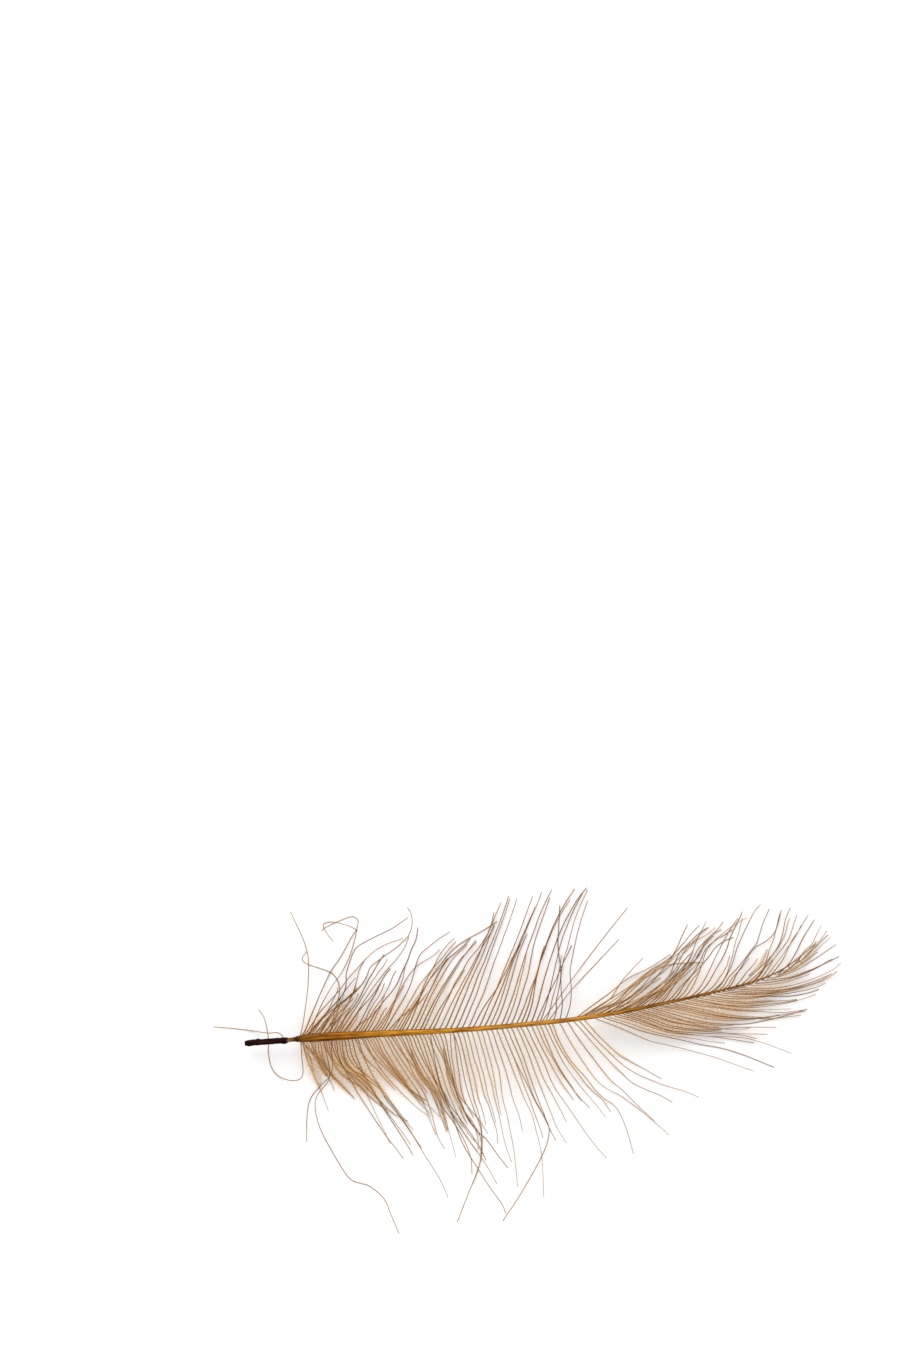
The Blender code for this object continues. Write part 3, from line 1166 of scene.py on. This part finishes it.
UPPER_MAIN_GUIDES = (
    ((303, 1034), (307, 1026), (311, 1016), (316, 1004), (320, 994), (326, 981), (331, 971),
     (340, 958), (350, 940), (356, 930)),
    ((305, 1034), (312, 1024), (320, 1012), (329, 1002), (339, 991), (348, 979), (357, 969),
     (366, 959), (375, 951), (386, 945), (403, 939)),
    ((311, 1032), (320, 1020), (331, 1008), (340, 998), (345, 990), (346, 983), (346, 975),
     (348, 967), (353, 953), (359, 946), (374, 938), (392, 929), (408, 918)),
    ((318, 1033), (328, 1019), (338, 1006), (348, 998), (357, 990), (363, 983), (368, 974)),
    ((325, 1032), (336, 1017), (346, 1006), (352, 995), (356, 983), (359, 971), (364, 962)),
    ((335, 1032), (345, 1018), (356, 1004), (363, 991), (368, 981), (374, 971), (380, 961),
     (384, 955)),
    ((345, 1031), (355, 1016), (363, 1003), (371, 991), (379, 980), (387, 970), (396, 960),
     (404, 949), (409, 937)),
    ((355, 1031), (363, 1017), (370, 1003), (377, 991), (383, 979), (390, 969)),
    ((365, 1030), (375, 1013), (383, 1002), (391, 993), (397, 984), (402, 972), (407, 962),
     (411, 951), (416, 940), (418, 928)),
    ((375, 1030), (385, 1016), (393, 1003), (400, 991), (406, 980), (413, 970), (420, 964),
     (432, 957), (440, 950)),
    ((385, 1029), (396, 1011), (404, 998), (410, 986), (414, 973), (417, 962), (421, 954),
     (428, 948), (438, 940), (450, 932)),
    ((393, 1029), (403, 1013), (412, 998), (419, 986), (427, 976), (434, 968), (441, 960),
     (449, 950), (456, 942)),
    ((403, 1028), (412, 1011), (420, 997), (427, 984), (434, 973), (442, 963), (450, 953),
     (459, 945), (470, 938), (481, 932), (497, 922)),
    ((412, 1028), (420, 1012), (427, 997), (434, 983), (441, 970), (448, 960), (456, 953),
     (464, 946), (470, 939)),
    ((424, 1028), (431, 1013), (438, 999), (446, 985), (455, 971), (463, 958), (470, 948),
     (476, 940)),
    ((434, 1027), (442, 1010), (449, 996), (455, 983), (462, 972), (469, 960), (478, 949),
     (486, 937), (491, 925), (494, 912)),
    ((446, 1026), (453, 1010), (460, 994), (467, 980), (473, 968), (479, 955), (484, 942),
     (490, 929), (495, 917), (501, 903)),
    ((457, 1026), (465, 1008), (472, 992), (478, 976), (484, 963), (489, 950), (494, 938),
     (499, 925), (504, 911), (509, 896)),
    ((469, 1025), (477, 1007), (484, 992), (489, 978), (494, 963), (499, 950), (504, 936),
     (510, 920), (517, 899)),
    ((480, 1024), (488, 1006), (495, 992), (500, 980), (505, 968), (510, 956), (515, 944),
     (521, 929), (527, 912), (533, 896)),
    ((490, 1024), (498, 1007), (504, 990), (509, 974), (514, 960), (520, 946), (525, 934),
     (531, 919), (537, 905), (542, 892)),
    ((501, 1024), (508, 1008), (514, 992), (519, 976), (524, 960), (529, 945), (534, 932),
     (539, 918), (546, 902), (552, 890)),
    ((511, 1023), (518, 1006), (523, 990), (528, 975), (531, 960), (534, 945), (539, 929),
     (545, 912), (550, 898)),
    ((521, 1022), (528, 1005), (532, 990), (537, 975), (541, 960), (546, 946), (552, 930),
     (559, 915), (567, 901), (575, 889)),
    ((531, 1021), (537, 1005), (541, 990), (546, 973), (552, 955), (558, 938), (564, 924),
     (571, 911), (579, 898), (587, 888)),
    ((540, 1020), (546, 1003), (550, 988), (554, 972), (558, 955), (562, 940), (568, 924),
     (575, 908), (584, 891)),
    ((553, 1019), (556, 1010), (556, 1000), (559, 988), (561, 972), (559, 956), (558, 941),
     (559, 925), (560, 906)),
    ((559, 1020), (562, 1004), (561, 990), (561, 976), (563, 963), (567, 950), (571, 935),
     (575, 920), (581, 905), (588, 890)),
    ((565, 1018), (570, 1003), (571, 986), (570, 972), (573, 955), (577, 936), (582, 918),
     (588, 901)),
)
UPPER_MAIN = Vane(
    "upper_vane",
    UPPER_MAIN_GUIDES,
    (
        Growth(303, 2.6, 0.22, 1.3, 6.0, 0.06, 0.46, 0.030, 0.36),
        Growth(380, 3.1, 0.26, 2.4, 5.5, 0.06, 0.44, 0.034, 0.46),
        Growth(410, 4.2, 0.45, 1.5, 3.5, 0.05, 0.40, 0.038, 0.60),
        Growth(440, 5.2, 0.40, 1.1, 1.6, 0.04, 0.36, 0.042, 0.72),
        Growth(530, 5.4, 0.40, 1.1, 1.6, 0.04, 0.32, 0.046, 0.60),
        Growth(545, 7.0, 0.50, 1.0, 1.5, 0.04, 0.30, 0.070, 0.30),
        Growth(565, 7.0, 0.80, 1.0, 1.5, 0.04, 0.20, 0.080, 0.20),
    ),
    kinship=0.05,
    tones=(0.1, 0.5),
    loose=0.13,
    loose_turn=-11.0,
    thick=0.055,
    thin=0.040,
)

UPPER_TIP_GUIDES = (
    ((574, 1018), (585, 1010), (598, 1001), (610, 993), (623, 983), (632, 977), (645, 971),
     (657, 964), (671, 955)),
    ((578, 1017), (592, 1009), (606, 1001), (620, 993), (631, 986), (641, 978), (652, 970),
     (664, 963), (674, 955), (684, 944), (692, 934), (700, 926)),
    ((585, 1016), (600, 1008), (615, 1002), (622, 996), (633, 986), (645, 976), (656, 969),
     (668, 962), (680, 953), (693, 943), (706, 936), (716, 928)),
    ((597, 1014), (612, 1006), (626, 999), (640, 990), (652, 981), (664, 972), (676, 962),
     (687, 951), (697, 940)),
    ((610, 1012), (624, 1004), (637, 995), (650, 985), (658, 976), (666, 966), (673, 956),
     (678, 947), (683, 935), (688, 925)),
    ((622, 1010), (637, 1001), (650, 992), (661, 984), (670, 975), (676, 962), (681, 952),
     (690, 943), (698, 935), (708, 928)),
    ((634, 1008), (645, 1000), (656, 993), (663, 990), (668, 986), (676, 979), (684, 971),
     (692, 962), (698, 950), (706, 941), (716, 932), (724, 922)),
    ((646, 1007), (655, 1001), (663, 994), (669, 987), (675, 978), (683, 970), (691, 958),
     (695, 946), (700, 935), (707, 922)),
    ((657, 1005), (666, 997), (672, 988), (679, 978), (689, 968), (700, 955), (704, 945),
     (712, 936), (722, 930)),
    ((668, 1002), (677, 995), (684, 985), (693, 974), (700, 962), (706, 950), (714, 942),
     (724, 936), (733, 930)),
    ((680, 1000), (690, 990), (697, 977), (702, 965), (706, 953), (712, 944), (722, 935),
     (735, 925), (748, 918)),
    ((690, 998), (702, 990), (710, 980), (716, 970), (722, 960), (727, 950), (731, 938), (737, 925),
     (743, 912)),
    ((703, 996), (714, 989), (722, 982), (728, 973), (733, 963), (737, 950), (742, 938), (748, 925),
     (755, 912), (761, 905)),
    ((714, 993), (723, 986), (728, 978), (736, 970), (743, 962), (750, 953), (757, 944), (760, 935),
     (764, 922), (770, 909)),
    ((723, 991), (731, 984), (736, 975), (742, 966), (748, 957), (756, 948), (766, 942), (775, 933),
     (779, 922), (782, 910)),
    ((734, 989), (744, 982), (752, 975), (760, 968), (766, 962), (770, 950), (774, 940), (777, 928),
     (780, 914)),
    ((745, 986), (755, 979), (762, 971), (767, 962), (773, 955), (779, 946), (783, 935), (786, 920),
     (791, 908)),
    ((757, 982), (765, 973), (771, 964), (778, 955), (785, 946), (790, 938), (794, 926),
     (798, 915)),
    ((768, 978), (776, 969), (783, 960), (788, 950), (793, 940), (800, 930), (804, 923),
     (809, 915)),
    ((779, 973), (788, 965), (794, 957), (799, 948), (804, 938), (810, 928), (815, 920)),
    ((790, 968), (799, 960), (805, 951), (812, 945), (817, 935), (822, 926)),
    ((800, 962), (808, 954), (815, 947), (822, 939), (828, 931)),
)
UPPER_TIP = Vane(
    "upper_tip",
    UPPER_TIP_GUIDES,
    (
        Growth(574, 4.4, 0.50, 1.0, 5.0, 0.05, 0.38, 0.036, 0.50),
        Growth(640, 4.8, 0.50, 1.2, 5.0, 0.05, 0.36, 0.042, 0.45),
        Growth(740, 6.0, 0.45, 1.3, 4.5, 0.05, 0.28, 0.050, 0.45),
        Growth(800, 9.0, 0.50, 1.0, 4.0, 0.04, 0.24, 0.060, 0.45),
    ),
    kinship=0.45,
    tones=(0.2, 1.0),
    thick=0.050,
    thin=0.036,
)

LOWER_TIP_GUIDES = (
    ((596, 1018), (612, 1024), (630, 1032), (650, 1041), (670, 1046), (690, 1051), (715, 1058),
     (735, 1065), (755, 1072)),
    ((604, 1017), (622, 1023), (640, 1030), (658, 1035), (680, 1040), (700, 1045), (722, 1049),
     (745, 1056), (775, 1068)),
    ((614, 1015), (632, 1020), (652, 1027), (672, 1033), (692, 1035), (712, 1037), (740, 1038),
     (762, 1043), (792, 1054)),
    ((626, 1012), (645, 1018), (665, 1026), (685, 1030), (708, 1032), (735, 1034), (768, 1035)),
    ((638, 1010), (655, 1015), (675, 1022), (695, 1026), (715, 1030), (740, 1028), (777, 1028)),
    ((650, 1007), (668, 1012), (688, 1018), (708, 1023), (730, 1025), (752, 1024), (780, 1018),
     (808, 1010)),
    ((663, 1005), (682, 1008), (702, 1013), (722, 1017), (745, 1019), (768, 1018), (790, 1014),
     (806, 1012)),
    ((678, 1001), (697, 1005), (718, 1008), (738, 1011), (760, 1012), (785, 1013), (808, 1010)),
    ((692, 998), (710, 1002), (730, 1006), (752, 1008), (774, 1006), (795, 1002), (817, 995)),
    ((708, 995), (726, 998), (746, 999), (768, 997), (790, 997), (808, 994), (820, 990)),
    ((724, 991), (742, 993), (762, 994), (782, 993), (803, 988), (824, 981), (838, 972)),
    ((740, 987), (758, 988), (777, 988), (795, 985), (814, 979), (832, 971), (842, 963)),
    ((755, 983), (772, 982), (790, 979), (808, 973), (825, 964), (840, 957)),
    ((770, 978), (785, 975), (800, 969), (815, 960), (828, 951), (837, 945)),
    ((784, 971), (797, 966), (809, 958), (820, 948), (832, 937)),
    ((797, 963), (808, 956), (818, 946), (829, 935)),
)
LOWER_TIP = Vane(
    "lower_tip",
    LOWER_TIP_GUIDES,
    (
        Growth(596, 6.0, 0.70, 1.0, 1.0, 0.03, 0.34, 0.040, 0.50),
        Growth(612, 4.6, 0.60, 1.0, 1.2, 0.03, 0.50, 0.036, 0.66),
        Growth(700, 4.6, 0.60, 1.0, 1.5, 0.03, 0.50, 0.036, 0.64),
        Growth(745, 6.2, 0.55, 1.3, 2.0, 0.03, 0.40, 0.042, 0.60),
        Growth(797, 10.0, 0.60, 1.0, 2.5, 0.03, 0.28, 0.060, 0.50),
    ),
    kinship=0.0,
    tones=(0.1, 0.9),
    thick=0.036,
    thin=0.032,
)

LOWER_MAIN_GUIDES = (
    ((302, 1042), (305, 1052), (308, 1062), (312, 1072), (316, 1082), (320, 1090), (324, 1100),
     (328, 1112)),
    ((304, 1042), (310, 1051), (317, 1060), (322, 1070), (328, 1078), (332, 1086), (334, 1092)),
    ((310, 1041), (314, 1050), (320, 1060), (327, 1070), (333, 1078), (342, 1087), (350, 1095),
     (355, 1100)),
    ((318, 1041), (319, 1050), (322, 1059), (326, 1067), (330, 1074), (338, 1082), (346, 1090),
     (354, 1098)),
    ((326, 1040), (328, 1050), (332, 1060), (336, 1068), (344, 1077), (355, 1084), (364, 1091),
     (369, 1100), (375, 1113), (382, 1127), (390, 1145)),
    ((334, 1039), (336, 1049), (339, 1058), (344, 1068), (351, 1077), (359, 1086), (367, 1095),
     (376, 1103), (386, 1110), (398, 1117), (408, 1122)),
    ((342, 1039), (343, 1050), (346, 1061), (353, 1070), (361, 1074), (371, 1082), (381, 1090),
     (386, 1100), (394, 1110), (402, 1121), (412, 1135), (424, 1155), (440, 1180), (448, 1198)),
    ((352, 1038), (355, 1050), (359, 1062), (364, 1074), (370, 1086), (377, 1098), (385, 1110),
     (394, 1122), (403, 1134), (411, 1146)),
    ((364, 1037), (369, 1048), (375, 1060), (382, 1071), (390, 1081), (399, 1091), (409, 1101),
     (419, 1110), (430, 1118)),
    ((376, 1037), (382, 1050), (388, 1060), (394, 1070), (402, 1081), (410, 1092), (420, 1101),
     (430, 1108), (440, 1118)),
    ((388, 1036), (396, 1050), (404, 1063), (412, 1075), (420, 1087), (426, 1098), (431, 1112),
     (434, 1124), (438, 1138), (445, 1150)),
    ((399, 1036), (406, 1048), (413, 1060), (418, 1070), (424, 1078), (432, 1087), (438, 1098),
     (442, 1110), (446, 1122), (451, 1140), (456, 1158)),
    ((409, 1035), (413, 1047), (419, 1060), (426, 1073), (433, 1085), (439, 1095), (443, 1108),
     (450, 1118), (458, 1130), (466, 1145), (471, 1160), (472, 1175)),
    ((420, 1034), (425, 1047), (429, 1060), (433, 1073), (437, 1085), (442, 1097), (448, 1110),
     (457, 1123), (466, 1137), (477, 1152), (489, 1170), (497, 1185)),
    ((432, 1033), (437, 1045), (443, 1057), (447, 1068), (451, 1080), (456, 1092), (462, 1105),
     (468, 1120), (478, 1133), (486, 1140), (497, 1155), (508, 1169)),
    ((440, 1033), (444, 1045), (447, 1058), (450, 1070), (454, 1083), (457, 1096), (463, 1110),
     (470, 1122), (478, 1132), (482, 1145), (481, 1160), (477, 1172), (473, 1184)),
    ((450, 1032), (451, 1045), (452, 1058), (454, 1070), (456, 1085), (460, 1097), (470, 1110),
     (480, 1122), (488, 1135)),
    ((458, 1032), (462, 1045), (465, 1058), (468, 1072), (471, 1085), (474, 1100), (478, 1112),
     (481, 1125), (482, 1140), (481, 1155)),
    ((467, 1031), (471, 1045), (474, 1058), (478, 1070), (481, 1082), (484, 1095), (489, 1107),
     (493, 1120), (497, 1132), (498, 1145)),
    ((477, 1030), (481, 1043), (485, 1057), (488, 1070), (492, 1085), (495, 1100), (499, 1115),
     (502, 1130), (506, 1147), (512, 1163)),
    ((487, 1030), (491, 1043), (495, 1057), (499, 1070), (501, 1085), (503, 1100), (507, 1115),
     (510, 1130), (514, 1150), (516, 1168), (518, 1188)),
    ((497, 1029), (502, 1042), (508, 1056), (513, 1070), (519, 1085), (525, 1100), (532, 1115),
     (536, 1130), (541, 1150), (543, 1170), (544, 1198)),
    ((507, 1028), (513, 1042), (519, 1056), (524, 1070), (529, 1085), (535, 1100), (542, 1113),
     (549, 1128), (556, 1142)),
    ((517, 1027), (523, 1040), (529, 1055), (534, 1070), (539, 1083), (545, 1098), (551, 1113),
     (557, 1128), (567, 1144)),
    ((527, 1027), (533, 1040), (539, 1052), (545, 1065), (550, 1078), (556, 1090), (563, 1100),
     (570, 1110), (578, 1122), (587, 1135), (597, 1148), (607, 1159)),
    ((537, 1026), (542, 1038), (548, 1050), (555, 1062), (562, 1074), (570, 1085), (578, 1096),
     (590, 1109)),
    ((545, 1025), (551, 1038), (557, 1050), (563, 1062), (571, 1074), (580, 1086), (591, 1099),
     (600, 1110), (606, 1118)),
    ((553, 1024), (556, 1033), (562, 1046), (569, 1058), (577, 1068), (586, 1078), (595, 1090),
     (604, 1099), (613, 1105), (619, 1112), (625, 1125), (630, 1140), (634, 1155)),
    ((560, 1023), (566, 1034), (573, 1046), (582, 1060), (590, 1072), (598, 1082), (608, 1090),
     (620, 1096), (630, 1103), (642, 1112), (655, 1123), (670, 1136)),
    ((568, 1022), (575, 1033), (584, 1046), (593, 1058), (602, 1070), (612, 1082), (622, 1090),
     (633, 1101), (643, 1111), (655, 1122)),
    ((574, 1021), (583, 1031), (592, 1042), (601, 1052), (611, 1063), (622, 1074), (633, 1084),
     (645, 1090), (660, 1096), (673, 1103)),
    ((579, 1020), (588, 1030), (597, 1040), (607, 1050), (617, 1060), (628, 1069), (640, 1076),
     (652, 1081), (668, 1087), (685, 1092), (700, 1098)),
    ((584, 1019), (592, 1028), (600, 1037), (610, 1047), (620, 1056), (632, 1063), (645, 1070),
     (662, 1080)),
)
LOWER_MAIN = Vane(
    "lower_vane",
    LOWER_MAIN_GUIDES,
    (
        Growth(302, 2.9, 0.45, 1.2, 5.0, 0.06, 0.58, 0.032, 0.94),
        Growth(350, 3.3, 0.50, 1.2, 5.0, 0.06, 0.58, 0.034, 0.94),
        Growth(405, 3.6, 0.50, 1.4, 3.5, 0.05, 0.50, 0.038, 0.90),
        Growth(440, 4.6, 0.60, 1.1, 2.0, 0.05, 0.38, 0.038, 0.80),
        Growth(480, 5.2, 0.60, 1.0, 1.5, 0.04, 0.36, 0.038, 0.68),
        Growth(584, 5.4, 0.65, 1.0, 1.5, 0.04, 0.36, 0.038, 0.66),
    ),
    kinship=0.1,
    tones=(0.4, 0.9),
    loose_turn=9.0,
    thick=0.042,
    thin=0.030,
)

STRAY_ROUTES = (
    ((-24.3, 2.2), (-24.6, 2.62), (-25.1, 2.77), (-25.9, 2.68), (-27.2, 2.8), (-28.7, 3.0),
     (-31.4, 3.25)),
    ((-22.7, 2.2), (-22.3, 4.2), (-21.9, 8.1), (-22.1, 11.1), (-23.7, 14.8)),
    ((-19.6, 2.4), (-19.5, -1.1), (-20.7, -2.7), (-21.6, -3.8), (-22.0, -5.3), (-22.1, -8.3)),
    ((-20.4, 2.3), (-19.7, -1.5), (-20.9, -3.4), (-21.2, -4.5), (-21.0, -6.0), (-20.4, -7.6),
     (-18.9, -10.3), (-17.6, -12.1), (-15.8, -12.7), (-14.3, -14.0), (-13.7, -15.4),
     (-12.8, -17.5)),
    ((-2.6, 3.5), (-1.3, 0.3), (-0.1, -2.2), (1.0, -4.5), (1.9, -6.0), (2.25, -7.3), (1.6, -9.5),
     (-0.5, -13.3), (-2.4, -16.2)),
    ((-7.5, 3.1), (-6.9, 1.5), (-6.1, -2.5), (-5.3, -5.0), (-4.6, -7.0), (-4.5, -9.0),
     (-4.9, -11.1), (-5.8, -13.3), (-7.0, -16.4)),
    ((-9.7, 3.0), (-8.9, -1.5), (-7.7, -5.0), (-6.5, -8.3), (-5.2, -10.5), (-3.8, -12.7),
     (-2.5, -14.5), (-2.1, -15.5)),
    ((1.4, 3.9), (2.9, 5.9), (4.5, 8.0), (7.7, 12.2), (10.1, 15.2)),
    ((2.1, 4.0), (3.3, 5.6), (4.4, 6.9), (6.3, 8.9), (9.2, 12.0)),
    ((-22.6, 2.2), (-22.5, 0.4), (-22.4, -1.3), (-22.8, -2.0), (-23.8, -2.1), (-24.9, -1.7),
     (-25.6, -0.8), (-25.9, 0.6), (-25.9, 2.0), (-26.1, 3.3), (-26.4, 4.3), (-26.9, 5.0)),
    ((-20.9, 2.3), (-19.9, 4.1), (-18.9, 5.4), (-17.1, 6.8), (-16.1, 8.2), (-15.7, 9.2),
     (-14.6, 10.1), (-13.2, 11.1), (-12.4, 11.8), (-11.8, 12.5), (-11.5, 13.5), (-11.6, 14.6),
     (-12.0, 15.2)),
    ((-21.9, 2.3), (-20.7, 5.2), (-19.6, 7.2), (-18.5, 8.8), (-17.7, 10.5), (-17.2, 12.2),
     (-17.0, 13.3), (-16.9, 13.9), (-17.5, 14.3), (-18.7, 13.9), (-20.2, 13.2), (-20.6, 12.9)),
    ((-19.7, 2.4), (-19.2, 5.0), (-18.8, 6.5), (-18.8, 7.3), (-19.0, 7.95), (-19.4, 8.5),
     (-19.9, 8.8), (-20.6, 9.05), (-21.9, 9.5), (-22.55, 10.0), (-22.1, 10.8)),
    ((-16.9, 13.0), (-17.7, 13.4), (-18.5, 13.6), (-19.7, 13.75), (-20.4, 13.5), (-20.1, 12.7),
     (-19.4, 11.8)),
    ((5.8, 4.6), (8.5, 5.9), (11.0, 7.7), (12.3, 8.5), (13.3, 9.1), (14.5, 9.5), (16.3, 9.65),
     (17.5, 9.7)),
)


@dataclass(frozen=True)
class Mat:
    """One mat: its route on the tracing sheet, its width, and its height at both ends."""

    route: tuple
    width: float
    start: float
    stop: float


MATS = (
    Mat(
        ((411, 1048), (415, 1060), (419, 1071), (424, 1079), (430, 1086), (435, 1093), (439, 1102),
         (442, 1112), (445, 1122), (448, 1132)),
        0.62,
        2.3,
        0.3,
    ),
    Mat(
        ((443, 1046), (446, 1060), (448, 1073), (451, 1086), (455, 1098), (459, 1107), (463, 1117),
         (468, 1126)),
        0.50,
        2.3,
        0.4,
    ),
    Mat(
        ((303, 1043), (308, 1050), (313, 1057), (318, 1063), (323, 1070), (328, 1076)),
        0.80,
        1.8,
        0.8,
    ),
    Mat(
        ((304, 1046), (309, 1058), (314, 1069), (318, 1078), (320, 1086)),
        0.80,
        1.7,
        0.4,
    ),
    Mat(
        ((343, 1050), (346, 1061), (352, 1069), (358, 1076), (363, 1084), (368, 1092)),
        0.80,
        2.2,
        0.7,
    ),
    Mat(
        ((652, 1001), (659, 996), (665, 990), (671, 984), (678, 979), (684, 974), (688, 968)),
        0.40,
        1.9,
        1.0,
    ),
    Mat(
        ((608, 1007), (619, 999), (629, 989), (637, 983), (646, 976), (656, 970), (666, 965),
         (674, 959)),
        0.34,
        2.2,
        0.7,
    ),
    Mat(
        ((748, 976), (755, 970), (761, 964), (765, 957), (768, 949)),
        0.34,
        1.3,
        0.5,
    ),
    Mat(
        ((776, 977), (790, 970), (802, 961), (811, 951), (817, 941)),
        0.50,
        1.1,
        0.5,
    ),
    Mat(
        ((330, 1024), (338, 1014), (346, 1006), (354, 998)),
        0.70,
        2.2,
        1.4,
    ),
)


@dataclass
class Strays:
    """The loose barbs, each with its own listed route, x and y in millimetres."""

    routes: tuple = STRAY_ROUTES
    smoothness: int = 16
    thick: float = 0.048
    thin: float = 0.030
    tones: tuple = (0.6, 1.0)
    paleness: float = 0.3
    landing: float = 0.55
    down_length: float = 0.12
    down_gap: float = 0.12

    def build(self, shaft: Shaft, plumage: Plumage, rng: np.random.Generator) -> None:
        """Make the loose barbs and their down, each with its finish.

        Args:
            shaft: what they grow from.
            plumage: what all barbs share.
            rng: the source of their unevenness.
        """
        barbs = []
        radii = self.thick + (self.thin - self.thick) * REACH
        down = np.full(STATIONS, self.down_length)
        for route in self.routes:
            plan = even_line(smooth_line(np.array(route), self.smoothness), REACH)
            level = shaft.at(route[0][0])[1] * settle(np.clip(REACH / self.landing, 0.0, 1.0))
            points = np.column_stack([plan, np.maximum(level, radii + CLEARANCE)])
            barbs.append(Barb(points, radii, float(rng.uniform(*self.tones)), down, self.down_gap))
        plumage.build("stray", barbs, rng, self.paleness)


@dataclass
class Mats:
    """The strands where the barbules of neighbouring barbs cling together and turn golden brown.

    sway is how far the strands of a mat wander, as parts of its width, and level_play how far above
    or below its middle they lie.
    """

    mats: tuple = MATS
    smoothness: int = 8
    strands: int = 4
    thick: float = 0.022
    thin: float = 0.016
    tones: tuple = (0.6, 1.0)
    paleness: float = 0.70
    offset: float = 0.5
    sway: float = 0.25
    swell_curve: float = 0.6
    level_play: float = 0.15
    down_length: float = 0.34
    down_gap: float = 0.075

    def build(self, plumage: Plumage, rng: np.random.Generator) -> None:
        """Make the strands of every mat and their down, each with its finish.

        Args:
            plumage: what all barbs share.
            rng: the source of their places and tone.
        """
        barbs = []
        swell = np.sin(np.pi * REACH) ** self.swell_curve
        radii = self.thick + (self.thin - self.thick) * REACH
        down = self.down_length * swell
        for mat in self.mats:
            plan = even_line(smooth_line(from_sheet(mat.route), self.smoothness), REACH)
            across = unit(quarter_turn(np.gradient(plan, axis=0)))
            level = mat.stop + (mat.start - mat.stop) * settle(REACH)
            for _ in range(self.strands):
                aside = rng.uniform(-self.offset, self.offset)
                aside = aside + self.sway * np.sin(2 * np.pi * (REACH + rng.random()))
                middle = plan + (mat.width * aside * swell)[:, None] * across
                height = level + rng.uniform(-self.level_play, self.level_play)
                tone = float(rng.uniform(*self.tones))
                points = np.column_stack([middle, height])
                barbs.append(Barb(points, radii, tone, down, self.down_gap))
        plumage.build("matted", barbs, rng, self.paleness)


@dataclass
class Studio:
    """The pale surface, the soft light from above the picture, and the camera that looks down.

    The frame is in pixels, true_height is the height at which one pixel is mm_per_px, and the floor
    and the light are in metres. The others are millimetres.
    """

    frame_px: tuple = (904, 1358)
    mm_per_px: float = SHEET_SQUARE
    camera_height: float = 500.0
    true_height: float = 1.2
    sensor: float = 36.0
    clip_end: float = 10.0
    floor_size: float = 3.0
    floor_drop: float = 0.00001
    sky: float = 0.88
    key_power: float = 5.8
    key_size: float = 0.8
    key_place: tuple = (-0.10, 0.68, 0.50)

    def lay_floor(self) -> None:
        """Lay the surface a hair below the feather."""
        place = (0.0, 0.0, -self.floor_drop)
        bpy.ops.mesh.primitive_plane_add(size=self.floor_size, location=place)
        floor = bpy.context.object
        floor.name = "pale_surface"
        floor.data.materials.append(MattePaper().material())

    def hang_lights(self) -> None:
        """Light the scene with an even white sky and one large soft lamp."""
        scene = bpy.context.scene
        world = bpy.data.worlds.new("even_white_sky")
        scene.world = world
        world.use_nodes = True
        background = world.node_tree.nodes["Background"]
        background.inputs["Color"].default_value = (1.0, 1.0, 1.0, 1.0)
        background.inputs["Strength"].default_value = self.sky
        key = bpy.data.lights.new("soft_key", "AREA")
        key.shape = "DISK"
        key.size = self.key_size
        key.energy = self.key_power
        lamp = bpy.data.objects.new("soft_key", key)
        lamp.location = self.key_place
        lamp.rotation_euler = (-Vector(self.key_place)).to_track_quat("-Z", "Y").to_euler()
        lamp.visible_camera = False
        scene.collection.objects.link(lamp)

    def place_camera(self) -> None:
        """Look straight down on the middle of the tracing sheet's frame."""
        scene = bpy.context.scene
        centre_x = (0.5 * self.frame_px[0] - SHEET_ORIGIN[0]) * self.mm_per_px
        centre_y = (SHEET_ORIGIN[1] - 0.5 * self.frame_px[1]) * self.mm_per_px
        data = bpy.data.cameras.new("camera")
        data.sensor_width = self.sensor
        reach = self.camera_height - self.true_height
        data.lens = self.sensor * reach / (self.frame_px[1] * self.mm_per_px)
        data.clip_end = self.clip_end
        camera = bpy.data.objects.new("camera", data)
        camera.location = (centre_x * MM, centre_y * MM, self.camera_height * MM)
        scene.collection.objects.link(camera)
        scene.camera = camera

    def build(self) -> None:
        """Lay the surface, hang the lights and place the camera."""
        bpy.context.scene.view_settings.view_transform = "Standard"
        self.lay_floor()
        self.hang_lights()
        self.place_camera()


def main() -> None:
    """Build the feather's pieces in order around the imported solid."""
    logging.basicConfig(level=logging.INFO, format="%(message)s")
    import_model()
    Studio().build()
    shaft = Shaft()
    shaft.build(np.random.default_rng(SHAFT_SEED))
    plumage = Plumage(BarbKeratin().material(), BarbuleDown().material())
    for seed, vane in enumerate((UPPER_MAIN, UPPER_TIP, LOWER_TIP, LOWER_MAIN), start=VANE_SEED):
        vane.build(shaft, plumage, np.random.default_rng(seed))
    rng = np.random.default_rng(LOOSE_SEED)
    Strays().build(shaft, plumage, rng)
    Mats().build(plumage, rng)


if __name__ == "__main__":
    main()
